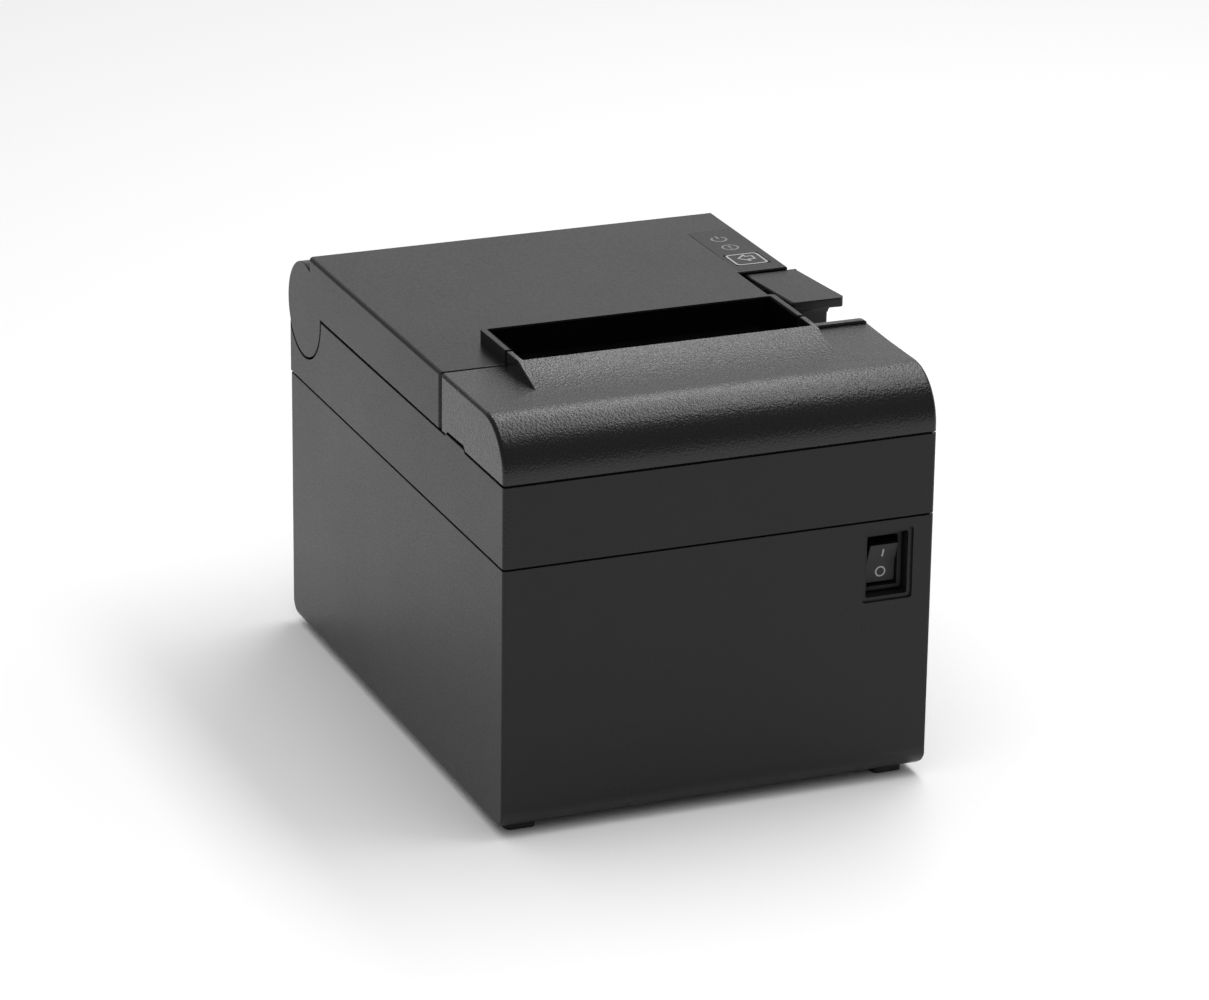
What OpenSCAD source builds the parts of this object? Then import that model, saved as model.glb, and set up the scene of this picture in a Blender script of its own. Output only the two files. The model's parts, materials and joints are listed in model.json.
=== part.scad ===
// Receipt printer with a rear-hinged lid, a drop-in paper well and an auto cutter.
// X runs to the right, the front faces -Y, Z is up. The origin is on the floor, under the
// middle of the case. All sizes are in millimetres.

/* [Case] */
// Width of the case
body_w = 145; // [141:1:156]
// Depth of the base, front to rear
body_d = 199; // [196:1:210]
// Height of the flat top
top_z = 136; // [130:0.5:142]
// Height of the lid and the front cover, from their seam to the flat top
lid_h = 19; // [18.5:0.5:20]
// Height of the middle frame's band between its two seams
band_h = 27; // [26:0.5:29]
// Wall thickness of the plastic shells
wall = 2.4; // [2:0.1:2.8]
// Height of the open groove at each seam
seam_gap = 0.7; // [0.5:0.1:1]
// Radius of the lower front and rear edges
bottom_r = 9.5; // [6:0.5:12]
// Radius of the lower side edges
side_r = 3; // [2.9:0.1:5]
// Radius of the upright corners
corner_r = 1.2; // [0.8:0.1:2]
// Distance by which the middle frame stands proud at the rear
rear_step = 0.8; // [0.3:0.1:1.5]
// Length of the front cover, from its front face to the seam with the lid
cover_l = 55; // [54:0.5:57]
// Radius of the curved front edge of the cover
cover_r = 17; // [12:0.5:17.5]

/* [Feet] */
// Height of the rubber feet
foot_h = 2; // [1:0.5:4]
// Length of a foot
foot_l = 18; // [10:1:20]
// Width of a foot
foot_w = 10; // [6:1:12]
// Depth to which a foot sits in the base
foot_seat = 0.8; // [0.4:0.1:1.2]

/* [Paper exit] */
// Width of the paper
paper_w = 80; // [78:1:80]
// Clear width of the exit on each side of the paper
well_side = 8.2; // [8:0.1:8.6]
// Wall thickness of the raised rim at the sides
rim_t = 1.9; // [1.6:0.1:2.2]
// Wall thickness of the raised rim at the rear
rim_rear_t = 1.5; // [1.2:0.1:2]
// Height of the rim above the top
rim_h = 4.7; // [3:0.1:5.5]
// Distance from the seam back to the outside of the rim
rim_back = 23.1; // [21.5:0.1:23.6]
// Distance from the seam forward to the upper edge of the ramp
ramp_start = 10.4; // [9.4:0.1:11.2]
// Distance from the seam forward to the foot of the ramp
ramp_end = 25.8; // [22:0.1:27]
// Thickness of the black chute liner
liner_t = 1.4; // [1:0.1:1.5]
// Thickness of the liner's collar inside the rim
collar_t = 0.65; // [0.5:0.05:0.75]
// Width of the groove between the lid and the front cover
cover_gap = 1.1; // [0.8:0.1:1.3]
// Gap in the rim at that groove
rim_gap = 1.7; // [1.3:0.1:2]

/* [Lid and hinge] */
// Radius of the hinge ears and barrel
barrel_r = 16.2; // [15.4:0.1:16.8]
// Distance from the rear face forward to the hinge axis
hinge_back = 14.3; // [14:0.1:16]
// Drop of the hinge axis below the lid seam
hinge_drop = 0.8; // [0:0.1:1.5]
// Distance from the rear face forward to the rear edge of the lid's flat top
step_back = 19.4; // [18.5:0.1:20.5]
// Radius of the hinge pins
pin_r = 2.5; // [2:0.1:3]
// Running clearance of turning parts
run_gap = 0.04; // [0.02:0.01:0.08]

/* [Lever] */
// Length of the lever's finger plate
lever_l = 37.8; // [35:0.1:39]
// Distance by which the plate overhangs the side of the case
lever_over = 3.1; // [2.6:0.1:4]
// Thickness of the finger plate
lever_t = 3.2; // [2.6:0.1:3.6]
// Radius of the scoop under the plate
scoop_r = 3; // [2.4:0.1:3.2]
// Slope of the finger plate, rising to the front
lever_slope = 2.9; // [1:0.1:3.2]
// Distance from the seam back to the notch that holds the lever
notch_l = 60.7; // [60:0.1:62]

/* [Control panel] */
// Length of the panel film
panel_l = 43.6; // [42:0.1:46]
// Thickness of the panel film
film_t = 0.3; // [0.2:0.05:0.4]
// Margin between the feed button and the left edge of the film
button_side = 1.6; // [1.2:0.1:2.5]
// Length of the feed button
button_l = 11.6; // [10:0.1:13]
// Gap round the feed button
button_gap = 0.2; // [0.15:0.05:0.4]
// Travel of the feed button
button_travel = 0.8; // [0.4:0.1:1]

/* [Power switch] */
// Width of the switch recess
recess_w = 17.1; // [16.5:0.1:18]
// Height of the switch recess
recess_h = 23.9; // [23.3:0.1:25]
// Step between the recess border and its inner opening
recess_step = 1.4; // [0.8:0.1:1.4]
// Depth of the recess
recess_d = 6; // [5.6:0.1:7]
// Distance from the side of the case to the middle of the switch
switch_side = 15.5; // [15:0.1:17]
// Distance from the lower seam down to the middle of the switch
switch_drop = 15.4; // [15:0.1:17]
// Width of the rocker
rocker_w = 10; // [9:0.1:10.4]
// Height of the rocker
rocker_h = 14; // [13:0.1:14.2]
// Full swing of the rocker, in degrees
rocker_swing = 24; // [18:1:26]

/* [Paper well] */
// Inside radius of the bucket for the roll
bucket_r = 43; // [42:0.1:43.4]
// Clearance between the bucket and the main board
bucket_clear = 12.7; // [10:0.1:13]
// Wall thickness of the bucket
bucket_t = 2.2; // [1.6:0.1:2.4]
// Thickness of the deck of the middle frame
deck_t = 2.4; // [2:0.1:2.6]

/* [Feed mechanism] */
// Radius of the platen rubber
platen_r = 7; // [6.6:0.1:7.1]
// Radius of the platen shaft
shaft_r = 2.5; // [2:0.1:2.8]
// Outside radius of the platen bearings
bush_r = 4; // [3.6:0.1:4.2]
// Sheet thickness of the mechanism frame
sheet_t = 1.2; // [1:0.1:1.4]
// Module of the feed gears
feed_module = 1; // [0.98:0.01:1]
// Width of the feed gears
gear_w = 4; // [3:0.5:4.5]
// Radius of the feed motor
motor_r = 16.5; // [15:0.1:16.7]
// Length of the feed motor
motor_l = 21; // [18:1:24]
// Gap between the platen and the head
nip_gap = 0.3; // [0.2:0.05:0.4]
// Thickness of the aluminium head plate
head_t = 4; // [3:0.1:4.4]
// Thickness of the ceramic strip
strip_t = 1; // [0.6:0.1:1]
// Outside radius of a head spring
spring_r = 3; // [2.5:0.1:3.2]
// Wire radius of the springs
wire_r = 0.4; // [0.3:0.05:0.45]

/* [Cutter] */
// Thickness of the cutter blades
blade_t = 1; // [0.8:0.1:1]
// Travel of the moving blade
blade_travel = 10; // [8:0.1:10]
// Module of the cutter gears
cut_module = 0.7; // [0.69:0.01:0.7]
// Radius of the cutter motor
cut_motor_r = 8; // [7:0.1:8.2]
// Length of the cutter motor
cut_motor_l = 20; // [16:0.5:20]

/* [Electronics] */
// Thickness of the circuit boards
board_t = 1.6; // [1.2:0.1:1.6]
// Height of the board standoffs
standoff_h = 6.4; // [5.5:0.1:6.6]
// Spacing of the jackscrews of the serial port
jack_pitch = 25; // [24.5:0.1:25.5]
// Radius of the jackscrew threads
jack_r = 1.42; // [1.3:0.01:1.5]
// Length of the hexagon of a jackscrew
jack_l = 4; // [3:0.1:5]

/* [Fasteners] */
// Shank radius of the case and frame screws
screw_r = 1.5; // [1.3:0.1:1.6]
// Head radius of the case and frame screws
screw_head_r = 2.9; // [2.5:0.1:3]
// Head height of the case and frame screws
screw_head_h = 1.6; // [1.2:0.1:1.8]

/* [Hidden] */
$fn = 48;

// Colours
case_grey = [0.33, 0.33, 0.34];
liner_black = [0.04, 0.04, 0.04];
steel = [0.72, 0.73, 0.75];
rubber = [0.09, 0.09, 0.09];
board_green = [0.08, 0.3, 0.16];
gear_white = [0.88, 0.87, 0.82];

// Case outline
side_x = body_w / 2;
front_y = -body_d / 2;
rear_y = body_d / 2;
inner_x = side_x - wall;
seam_y = front_y + cover_l;
half_gap = seam_gap / 2;
fit_gap = 0.3;
lid_seam_z = top_z - lid_h;
low_seam_z = lid_seam_z - band_h;
lid_bottom = lid_seam_z + half_gap;
mid_top = lid_seam_z - half_gap;
mid_bottom = low_seam_z + half_gap;
base_top = low_seam_z - half_gap;
floor_z = foot_h + wall;
mid_rear_y = rear_y + rear_step;
top_in = top_z - wall;

// Paper exit
well_x = paper_w / 2 + well_side;
slip_gap = 0.05;
rim_in = well_x + collar_t + slip_gap;
rim_x = rim_in + rim_t;
liner_x = well_x + liner_t;
rim_z = top_z + rim_h;
rim_back_y = seam_y + rim_back;
collar_y = rim_back_y - rim_rear_t - slip_gap;
well_back_y = collar_y - collar_t;
rim_corner_r = 1;
ramp_top_y = seam_y - ramp_start;
ramp_foot_y = seam_y - ramp_end;
lid_front_y = seam_y + cover_gap / 2;
cover_rear_y = seam_y - cover_gap / 2;
rim_seam_y = lid_front_y - rim_gap;

// Hinge
hinge_y = rear_y - hinge_back;
hinge_z = lid_seam_z - hinge_drop;
step_y = rear_y - step_back;
barrel_gap = seam_gap;
bracket_x0 = side_x - 8.5;
bracket_t = 4;

// Mechanism: the platen axis is the reference for what lies round it
platen_y = seam_y + 8.5;
platen_z = lid_seam_z + 1;
arm_x = liner_x + 0.4;
plate_x = arm_x + sheet_t + 0.4;
plate_out = plate_x + sheet_t;
mech_rear_y = platen_y + 9;
mech_top = platen_z + 3;
mech_floor = platen_z - 58;
gear_x = plate_out + 1.2;
pinion_teeth = 12;
idler_teeth = 28;
platen_teeth = 18;
feed_backlash = 0.45;
pinion_pr = feed_module * pinion_teeth / 2;
idler_pr = feed_module * idler_teeth / 2;
platen_pr = feed_module * platen_teeth / 2;
idler_y = platen_y;
idler_z = platen_z - idler_pr - platen_pr;
motor_dir = 220;
motor_y = idler_y + (idler_pr + pinion_pr) * cos(motor_dir);
motor_z = idler_z + (idler_pr + pinion_pr) * sin(motor_dir);
motor_shaft_r = 1;
idler_post_r = 3;
slot_side = 0.5;

// Head, in front of the platen
strip_y = platen_y - platen_r - nip_gap - strip_t;
head_y = strip_y - head_t;
head_top = platen_z + 6;
head_low = platen_z - 13;
head_pivot_y = head_y + head_t / 2;
head_pivot_z = platen_z - 15;
head_pivot_r = 2;
spring_wall_y = head_y - 9;
spring_z = platen_z - 4;
spring_xs = [-25, 0, 25];

// Cutter, above the front of the mechanism
cut_low = mech_top;
blade_z = platen_z + 7.9;
cut_y0 = platen_y - 50;
cut_y1 = head_y - 1.2;
cut_x = plate_x - 1.2;
blade_x = paper_w / 2 + 4.3;
blade_edge_y = platen_y - 10;
cut_pinion_teeth = 12;
cut_wheel_teeth = 24;
cut_motor_teeth = 12;
cut_backlash = 0.25;
cut_pinion_pr = cut_module * cut_pinion_teeth / 2;
cut_wheel_pr = cut_module * cut_wheel_teeth / 2;
cut_motor_pr = cut_module * cut_motor_teeth / 2;
rack_x = -30;
cut_pinion_x = rack_x - cut_pinion_pr;
cut_pinion_y = platen_y - 29;
cut_motor_y = cut_pinion_y - cut_wheel_pr - cut_motor_pr;
cut_axle_r = 1.5;
wheel_z = cut_low + 1.6;
wheel_t = 1.8;
rack_pitch = PI * cut_module;

// Latch and lever
lid_cut_x = plate_out + 1.9;
cut_wall = 1.3;
notch_y = seam_y + notch_l;
latch_y = notch_y - 5.7;
latch_z = top_z - 6.5;
latch_r = 2.5;
lever_gap = 0.4;
lever_x0 = lid_cut_x + 2.5;
lever_x1 = side_x + lever_over;
lever_rear = notch_y - lever_gap;
lever_front = lever_rear - lever_l;
lever_drop = 0.85;
lever_arc_r = 7.7;
plate_low = top_z - lever_drop + lever_l * tan(lever_slope) - lever_t;
plate_corner_r = 1.5;
neck_y = lever_front + 4.6;
neck_x = side_x - 0.5;
hook_x = lid_cut_x + 1.2;
hook_t = 2;
catch_z = lid_seam_z - 10;
catch_y = latch_y - 1.5;
catch_r = 1.5;

// Bucket
bucket_y = platen_y + 58;
bucket_x = paper_w / 2 + 1;
deck_top = lid_seam_z - 2.6;
deck_z = deck_top - deck_t;
bucket_lip_z = platen_z - 12;

// Control panel
film_x0 = lid_cut_x + 1;
film_x1 = side_x - corner_r;
film_y0 = notch_y + 1.2;
film_y1 = film_y0 + panel_l;
button_w = film_x1 - film_x0 - 2 * button_side - 0.4;
button_x = film_x0 + button_side + button_w / 2;
button_y = notch_y + 12.4;
light_xs = [button_x - 0.2, button_x - 0.3];
light_ys = [button_y + 13.4, button_y + 23.3];
light_r = 1.6;
panel_board_z = top_z - 8;

// Power switch
switch_x = side_x - switch_side;
switch_z = low_seam_z - switch_drop;
inner_w = recess_w - 2 * recess_step;
inner_h = recess_h - 2 * recess_step;
bezel_w = rocker_w + 3.4;
bezel_h = rocker_h + 5.2;
bezel_y = front_y + recess_d - 1.6;
rocker_y = front_y + recess_d + 2.4;
switch_deep = 13;

// Base
post_x = plate_x - 5.6;
post_ys = [platen_y - 32, platen_y + 5];
post_r = 4.5;
column_x = side_x - 6.6;
column_ys = [front_y + 29.5, rear_y - 16];
column_r = 4.2;
chassis_t = 1.2;
board_z = floor_z + chassis_t + standoff_h;
board_top = board_z + board_t;
bucket_z = board_top + bucket_clear + bucket_t + bucket_r;
port_face_y = rear_y - wall;
port_low = floor_z + 8.1;
port_high = port_low + 23;
port_half_w = body_w / 2 - 16.5;
plate_y0 = port_face_y - 1;
main_x = 60;
main_y0 = platen_y + 16;
main_y1 = port_face_y - 6;
main_screws = [[-55, main_y0 + 8], [55, main_y0 + 8], [-55, main_y1 - 30], [55, main_y1 - 30]];
power_x = post_x - 6;
power_y0 = front_y + bottom_r + 1.5;
power_y1 = main_y0 - 5;
power_sx = power_x - 4;
power_screws = [
  [-power_sx, power_y0 + 4], [power_sx, power_y0 + 4],
  [-power_sx, power_y1 - 4], [power_sx, power_y1 - 4]];
inlet_px = -44;
drawer_px = -25;
serial_px = 1;
jack_shoulder_r = jack_r + 0.4;
lan_px = 28;
usb_px = 46;

// ---------------------------------------- helpers

// Box between two corners
module box(x0, x1, y0, y1, z0, z1) {
  translate([x0, y0, z0]) cube([x1 - x0, y1 - y0, z1 - z0]);
}

// Cylinders along X, Y and Z from a start, with a radius
module rod_x(x0, x1, y, z, r) {
  translate([x0, y, z]) rotate([0, 90, 0]) cylinder(h = x1 - x0, r = r);
}

module rod_y(y0, y1, x, z, r) {
  translate([x, y1, z]) rotate([90, 0, 0]) cylinder(h = y1 - y0, r = r);
}

module rod_z(z0, z1, x, y, r) {
  translate([x, y, z0]) cylinder(h = z1 - z0, r = r);
}

// Outlines extruded along an axis: the outline is drawn in (y, z), (x, z) or (x, y)
module along_x(x0, x1) {
  translate([x0, 0, 0]) rotate([90, 0, 90]) linear_extrude(x1 - x0) children();
}

module along_y(y0, y1) {
  translate([0, y1, 0]) rotate([90, 0, 0]) linear_extrude(y1 - y0) children();
}

module along_z(z0, z1) {
  translate([0, 0, z0]) linear_extrude(z1 - z0) children();
}

// Rectangle between two corners
module rect(a0, a1, b0, b1) {
  translate([a0, b0]) square([a1 - a0, b1 - b0]);
}

// Rectangle with four round corners
module round_rect(a0, a1, b0, b1, r) {
  rect(a0 + r, a1 - r, b0, b1);
  rect(a0, a1, b0 + r, b1 - r);
  for (a = [a0 + r, a1 - r])
    for (b = [b0 + r, b1 - r])
      translate([a, b]) circle(r);
}

// A copy on each side of the middle plane
module both_sides() {
  children();
  mirror([1, 0, 0]) children();
}

// Screw with its head at the top and its shank below
module screw_down(x, y, head_z, length, r = screw_r, head_r = screw_head_r) {
  difference() {
    rod_z(head_z, head_z + screw_head_h, x, y, head_r);
    for (turn = [0, 90])
      translate([x, y, head_z + screw_head_h]) rotate(turn)
        cube([head_r * 1.1, 0.6, 1.2], center = true);
  }
  rod_z(head_z - length, head_z, x, y, r);
}

// Screw with its head at the bottom
module screw_up(x, y, head_z, length, r = screw_r, head_r = screw_head_r) {
  translate([x, y, head_z]) rotate([180, 0, 0]) screw_down(0, 0, 0, length, r, head_r);
}

// Involute gear outline centred on the origin, with one tooth centred on the phase angle
function involute(a) = tan(a) - a * PI / 180;
function tooth_angle(r, rb, base) = base + (involute(20) - involute(acos(min(1, rb / r)))) * 180 / PI;
function polar(r, a) = [r * cos(a), r * sin(a)];

module gear_outline(teeth, module_size, phase, backlash) {
  rp = module_size * teeth / 2;
  rb = rp * cos(20);
  ra = rp + 0.85 * module_size;
  rf = rp - 1.2 * module_size;
  r0 = max(rb, rf);
  base = 90 / teeth - backlash / 2 / rp * 180 / PI;
  steps = 4;
  points = [for (k = [0:teeth - 1])
    let (c = phase + 360 * k / teeth, foot = tooth_angle(r0, rb, base))
      each concat(
        [polar(rf, c - foot)],
        [for (i = [0:steps]) let (r = r0 + (ra - r0) * i / steps)
          polar(r, c - tooth_angle(r, rb, base))],
        [for (i = [0:steps]) let (r = ra - (ra - r0) * i / steps)
          polar(r, c + tooth_angle(r, rb, base))],
        [polar(rf, c + foot)])];
  polygon(points);
}

// Phase of a gear that meshes with another one, seen in the direction of the line of centres
function mesh_phase(phase, direction, teeth_a, teeth_b) =
  direction + 180 + 180 / teeth_b - (phase - direction) * teeth_a / teeth_b;

// Coil spring along +Y from the origin
module coil_spring(r, wire, turns, length) {
  ring = 6;
  steps = turns * 12;
  points = [for (i = [0:steps]) let (a = 360 * turns * i / steps, y = length * i / steps)
    for (k = [0:ring - 1]) let (b = 360 * k / ring, d = r + wire * cos(b))
      [d * cos(a), y + wire * sin(b), d * sin(a)]];
  walls = [for (i = [0:steps - 1]) for (k = [0:ring - 1])
    let (n = (k + 1) % ring)
      [i * ring + k, (i + 1) * ring + k, (i + 1) * ring + n, i * ring + n]];
  first = [for (k = [0:ring - 1]) k];
  last = [for (k = [0:ring - 1]) (steps + 1) * ring - 1 - k];
  polyhedron(points, concat([first], walls, [last]), convexity = 10);
}

// ---------------------------------------- case outlines

// Case outline seen from the side, drawn in (y, z), moved in by a wall
module side_outline(inset, back) {
  r = bottom_r - inset;
  rect(front_y + inset, back - inset, foot_h + bottom_r, top_z);
  rect(front_y + bottom_r, back - bottom_r, foot_h + inset, foot_h + bottom_r);
  translate([front_y + bottom_r, foot_h + bottom_r]) circle(r);
  translate([back - bottom_r, foot_h + bottom_r]) circle(r);
}

// Case outline seen from the front, drawn in (x, z)
module front_outline(inset) {
  r = side_r - inset;
  rect(-side_x + inset, side_x - inset, foot_h + side_r, top_z);
  rect(-side_x + side_r, side_x - side_r, foot_h + inset, foot_h + side_r);
  for (s = [-1, 1])
    translate([s * (side_x - side_r), foot_h + side_r]) circle(r);
}

// Case outline seen from above
module plan_outline(inset, back) {
  if (inset < corner_r)
    round_rect(-side_x + inset, side_x - inset, front_y + inset, back - inset, corner_r - inset);
  else
    rect(-side_x + inset, side_x - inset, front_y + inset, back - inset);
}

// Solid block of the lower case between two heights, moved in by a wall
module base_block(inset, z0, z1) {
  intersection() {
    along_x(-side_x, side_x) side_outline(inset, rear_y);
    along_y(front_y, rear_y) front_outline(inset);
    along_z(z0, z1) plan_outline(inset, rear_y);
  }
}

// Solid block of the middle frame
module mid_block(inset, z0, z1) {
  along_z(z0, z1) plan_outline(inset, mid_rear_y);
}

// ---------------------------------------- base

module base_shell() {
  color(case_grey)
    difference() {
      union() {
        difference() {
          union() {
            base_block(0, foot_h, base_top);
            base_block(wall / 2, low_seam_z - 5, mid_bottom);
          }
          base_block(wall, floor_z, top_z - 1);
        }
        for (y = column_ys)
          both_sides() {
            rod_z(floor_z - 1, low_seam_z - 2, column_x, y, column_r);
            box(column_x, inner_x + 1, y - 1, y + 1, floor_z, low_seam_z - 4);
          }
        for (y = post_ys)
          both_sides() rod_z(floor_z - 1, mech_floor, post_x, y, post_r);
        switch_well();
      }
      for (y = column_ys)
        both_sides() {
          rod_z(foot_h - 1, low_seam_z - 8, column_x, y, screw_head_r + 0.3);
          rod_z(low_seam_z - 9, low_seam_z, column_x, y, screw_r + 0.2);
        }
      for (y = post_ys)
        both_sides() rod_z(mech_floor - 10, mech_floor + 1, post_x, y, screw_r + 0.05);
      foot_pads(foot_h - 1, foot_h + foot_seat);
      port_cutout();
      switch_cutout();
      floor_vents();
      label_recess();
    }
}

// Walls round the switch recess, behind the front face
module switch_well() {
  box(switch_x - inner_w / 2 - 1.8, switch_x + inner_w / 2 + 1.8, front_y + 1,
    front_y + recess_d + 1.8, switch_z - inner_h / 2 - 1.8, switch_z + inner_h / 2 + 1.8);
}

module switch_cutout() {
  along_y(front_y - 1, front_y + 0.9)
    round_rect(switch_x - recess_w / 2, switch_x + recess_w / 2,
      switch_z - recess_h / 2, switch_z + recess_h / 2, 1);
  along_y(front_y - 1, front_y + recess_d)
    round_rect(switch_x - inner_w / 2, switch_x + inner_w / 2,
      switch_z - inner_h / 2, switch_z + inner_h / 2, 0.8);
  box(switch_x - bezel_w / 2 + 0.5, switch_x + bezel_w / 2 - 0.5, front_y, front_y + recess_d + 3,
    switch_z - bezel_h / 2 + 0.7, switch_z + bezel_h / 2 - 0.7);
}

// Opening for the sockets at the rear
module port_cutout() {
  along_y(port_face_y - 1, rear_y + 1)
    round_rect(-port_half_w, port_half_w, port_low, port_high, 2);
}

// Rows of slots in the floor
module floor_vents() {
  for (x = [-30:6:30])
    along_z(foot_h - 1, floor_z + 1)
      round_rect(x - 1.2, x + 1.2, -12, 22, 1.1);
}

// Shallow field for a label under the base
module label_recess() {
  along_z(foot_h - 1, foot_h + 0.4)
    round_rect(-32, 32, 36, 66, 2);
}

// Outlines of the four feet as one solid group
module foot_pads(z0, z1) {
  for (y = [front_y + bottom_r - 2, rear_y - bottom_r + 2 - foot_l])
    both_sides()
      along_z(z0, z1)
        round_rect(side_x - side_r - 1.5 - foot_w, side_x - side_r - 1.5, y, y + foot_l, 2);
}

module rubber_feet() {
  color(rubber) foot_pads(0, foot_h + foot_seat);
}

module chassis_plate() {
  color(steel)
    difference() {
      box(-main_x - 2, main_x + 2, front_y + bottom_r, rear_y - bottom_r, floor_z,
        floor_z + chassis_t);
      for (y = post_ys)
        both_sides() rod_z(floor_z - 1, floor_z + 2, post_x, y, post_r + 0.3);
      for (y = column_ys)
        both_sides()
          box(column_x - column_r - 0.4, main_x + 3, y - column_r - 0.4, y + column_r + 0.4,
            floor_z - 1, floor_z + 3);
      for (x = [-24:8:24])
        along_z(floor_z - 1, floor_z + 3) round_rect(x - 1.6, x + 1.6, -12, 22, 1.5);
    }
}

// ---------------------------------------- middle frame

module mid_frame() {
  color(case_grey)
    difference() {
      union() {
        difference() {
          mid_block(0, mid_bottom, mid_top);
          mid_block(wall, mid_bottom - 1, mid_top + 1);
        }
        cover_seat();
        seam_tab();
        lid_lip();
        deck();
        for (y = column_ys)
          both_sides() mid_boss(y);
        front_shelf();
      }
      barrel_space();
      for (y = column_ys)
        both_sides()
          rod_z(low_seam_z - 4, low_seam_z + 6, column_x, y, screw_r + 0.05);
      both_sides() rod_z(deck_z - 1, deck_top + 1, cover_boss_x, cover_boss_y, screw_r + 0.2);
    }
  color(case_grey) hinge_brackets();
}

cover_boss_x = side_x - 14;
cover_boss_y = front_y + 9.5;

// Tab at the left that reaches up into a groove of the front cover
tab_y = seam_y - 4.7;
tab_l = 16;
tab_h = 1.05;
tab_gap = 1.05;
module seam_tab() {
  along_x(-side_x, -side_x + wall / 2)
    polygon([
      [tab_y, mid_top - 1],
      [tab_y, mid_top + tab_h],
      [tab_y - tab_l, mid_top + tab_h],
      [tab_y - tab_l - tab_h, mid_top],
      [tab_y - tab_l - tab_h, mid_top - 1]]);
}

// Raised inner edge that the front cover stands on
module cover_seat() {
  difference() {
    mid_block(wall / 2, mid_top - 3, lid_bottom);
    mid_block(wall, mid_top - 4, lid_bottom + 1);
    box(-side_x, side_x, cover_rear_y, mid_rear_y + 1, mid_top - 4, lid_bottom + 1);
  }
}

// Upright lip inside the skirt of the lid
module lid_lip() {
  x1 = inner_x - fit_gap;
  y1 = hinge_y - barrel_r - 2.5;
  box(-x1, -x1 + 1.4, cover_rear_y, y1, deck_top - 1, mid_top + 1.6);
  box(x1 - 1.4, x1, notch_y + 4.2, y1, deck_top - 1, mid_top + 1.6);
  both_sides() box(x1 - 1.4, inner_x + 1, cover_rear_y, y1, deck_top - 1, deck_top + 0.6);
}

// Deck round the bucket and beside the mechanism
module deck() {
  difference() {
    box(-inner_x - 1, inner_x + 1, cover_rear_y, hinge_y - barrel_r - 2, deck_z, deck_top);
    box(-bucket_x - bucket_t - fit_gap, bucket_x + bucket_t + fit_gap, cover_rear_y - 1,
      bucket_y + bucket_r + bucket_t + fit_gap, deck_z - 1, deck_top + 1);
    box(-gear_x - gear_w - 1.6, plate_out + 1.2, cover_rear_y - 1, mech_rear_y + 6.2,
      deck_z - 1, deck_top + 1);
    both_sides()
      box(hook_x - 1.4, hook_x + hook_t + 1.4, catch_y - 9, catch_y + 6, deck_z - 1, deck_top + 1);
  }
}

// Boss for a case screw, joined to the side wall
module mid_boss(y) {
  rod_z(low_seam_z - 2, low_seam_z + 8, column_x, y, column_r);
  box(column_x, inner_x + 1, y - column_r, y + column_r, mid_bottom, low_seam_z + 8);
}

// Shelf that the front cover is screwed to
module front_shelf() {
  both_sides()
    box(cover_boss_x - 5.2, inner_x + 1, front_y + 1, cover_boss_y + 6, deck_z, deck_top);
}

// Space for the ears and barrel of the lid
module barrel_space() {
  rod_x(-side_x - 1, side_x + 1, hinge_y, hinge_z, barrel_r + barrel_gap);
}

// Arms that carry the hinge pins, inside the ears
module hinge_brackets() {
  both_sides()
    difference() {
      union() {
        rod_x(bracket_x0, bracket_x0 + bracket_t, hinge_y, hinge_z, 6);
        along_x(bracket_x0, bracket_x0 + bracket_t)
          polygon([
            [hinge_y - barrel_r - 2, deck_z],
            [hinge_y - barrel_r - 2, deck_top],
            [hinge_y - barrel_r - 1, deck_top],
            [hinge_y - 5, hinge_z + 3],
            [hinge_y + 2, hinge_z - 5.5],
            [hinge_y - barrel_r, deck_z - 6],
            [hinge_y - barrel_r - 2, deck_z - 6]]);
        box(bracket_x0, inner_x + 1, hinge_y - barrel_r - 4, hinge_y - barrel_r - 2,
          deck_z - 6, deck_top);
      }
      rod_x(bracket_x0 - 1, bracket_x0 + bracket_t + 1, hinge_y, hinge_z, pin_r + 0.02);
    }
}

module hinge_pins() {
  color(steel) both_sides()
    rod_x(bracket_x0 - 0.5, inner_x + 1.2, hinge_y, hinge_z, pin_r);
}

// ---------------------------------------- front cover

// Outline of the cover seen from the side, drawn in (y, z)
module cover_outline(inset) {
  intersection() {
    union() {
      rect(front_y + cover_r, cover_rear_y - inset, lid_bottom - 1, top_z - inset);
      rect(front_y + inset, front_y + cover_r, lid_bottom - 1, top_z - cover_r);
      translate([front_y + cover_r, top_z - cover_r]) circle(cover_r - inset);
    }
    rect(front_y, cover_rear_y, lid_bottom, rim_z);
  }
}

module front_cover() {
  color(case_grey)
    difference() {
      union() {
        difference() {
          along_x(-side_x, side_x) cover_outline(0);
          along_x(-inner_x, inner_x) cover_outline(wall);
          box(-inner_x, lid_cut_x - 1.2, cover_rear_y - wall - 1, cover_rear_y + 1,
            lid_bottom - 1, top_in);
          box(-inner_x, inner_x, front_y + wall, cover_rear_y - wall, lid_bottom - 1,
            lid_bottom + 1);
        }
        along_x(-rim_x, rim_x) ramp_outline();
        both_sides()
          along_x(well_x, liner_x) chute_side();
        along_x(-well_x - 1, well_x + 1) chute_front();
        rear_lip();
        both_sides() rod_z(deck_top, cover_boss_top, cover_boss_x, cover_boss_y, column_r);
      }
      along_x(-well_x, well_x) well_space();
      intersection() {
        along_x(-rim_in, rim_in) well_space();
        box(-rim_x, rim_x, ramp_top_y - 3, cover_rear_y + 6, top_in + 0.5, rim_z + 2);
      }
      along_x(-well_x + 1.5, well_x - 1.5) under_ramp();
      along_x(-side_x - 1, -inner_x + 1) tab_space();
      both_sides() rod_z(deck_top - 1, deck_top + 9, cover_boss_x, cover_boss_y, screw_r + 0.05);
    }
}

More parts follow.
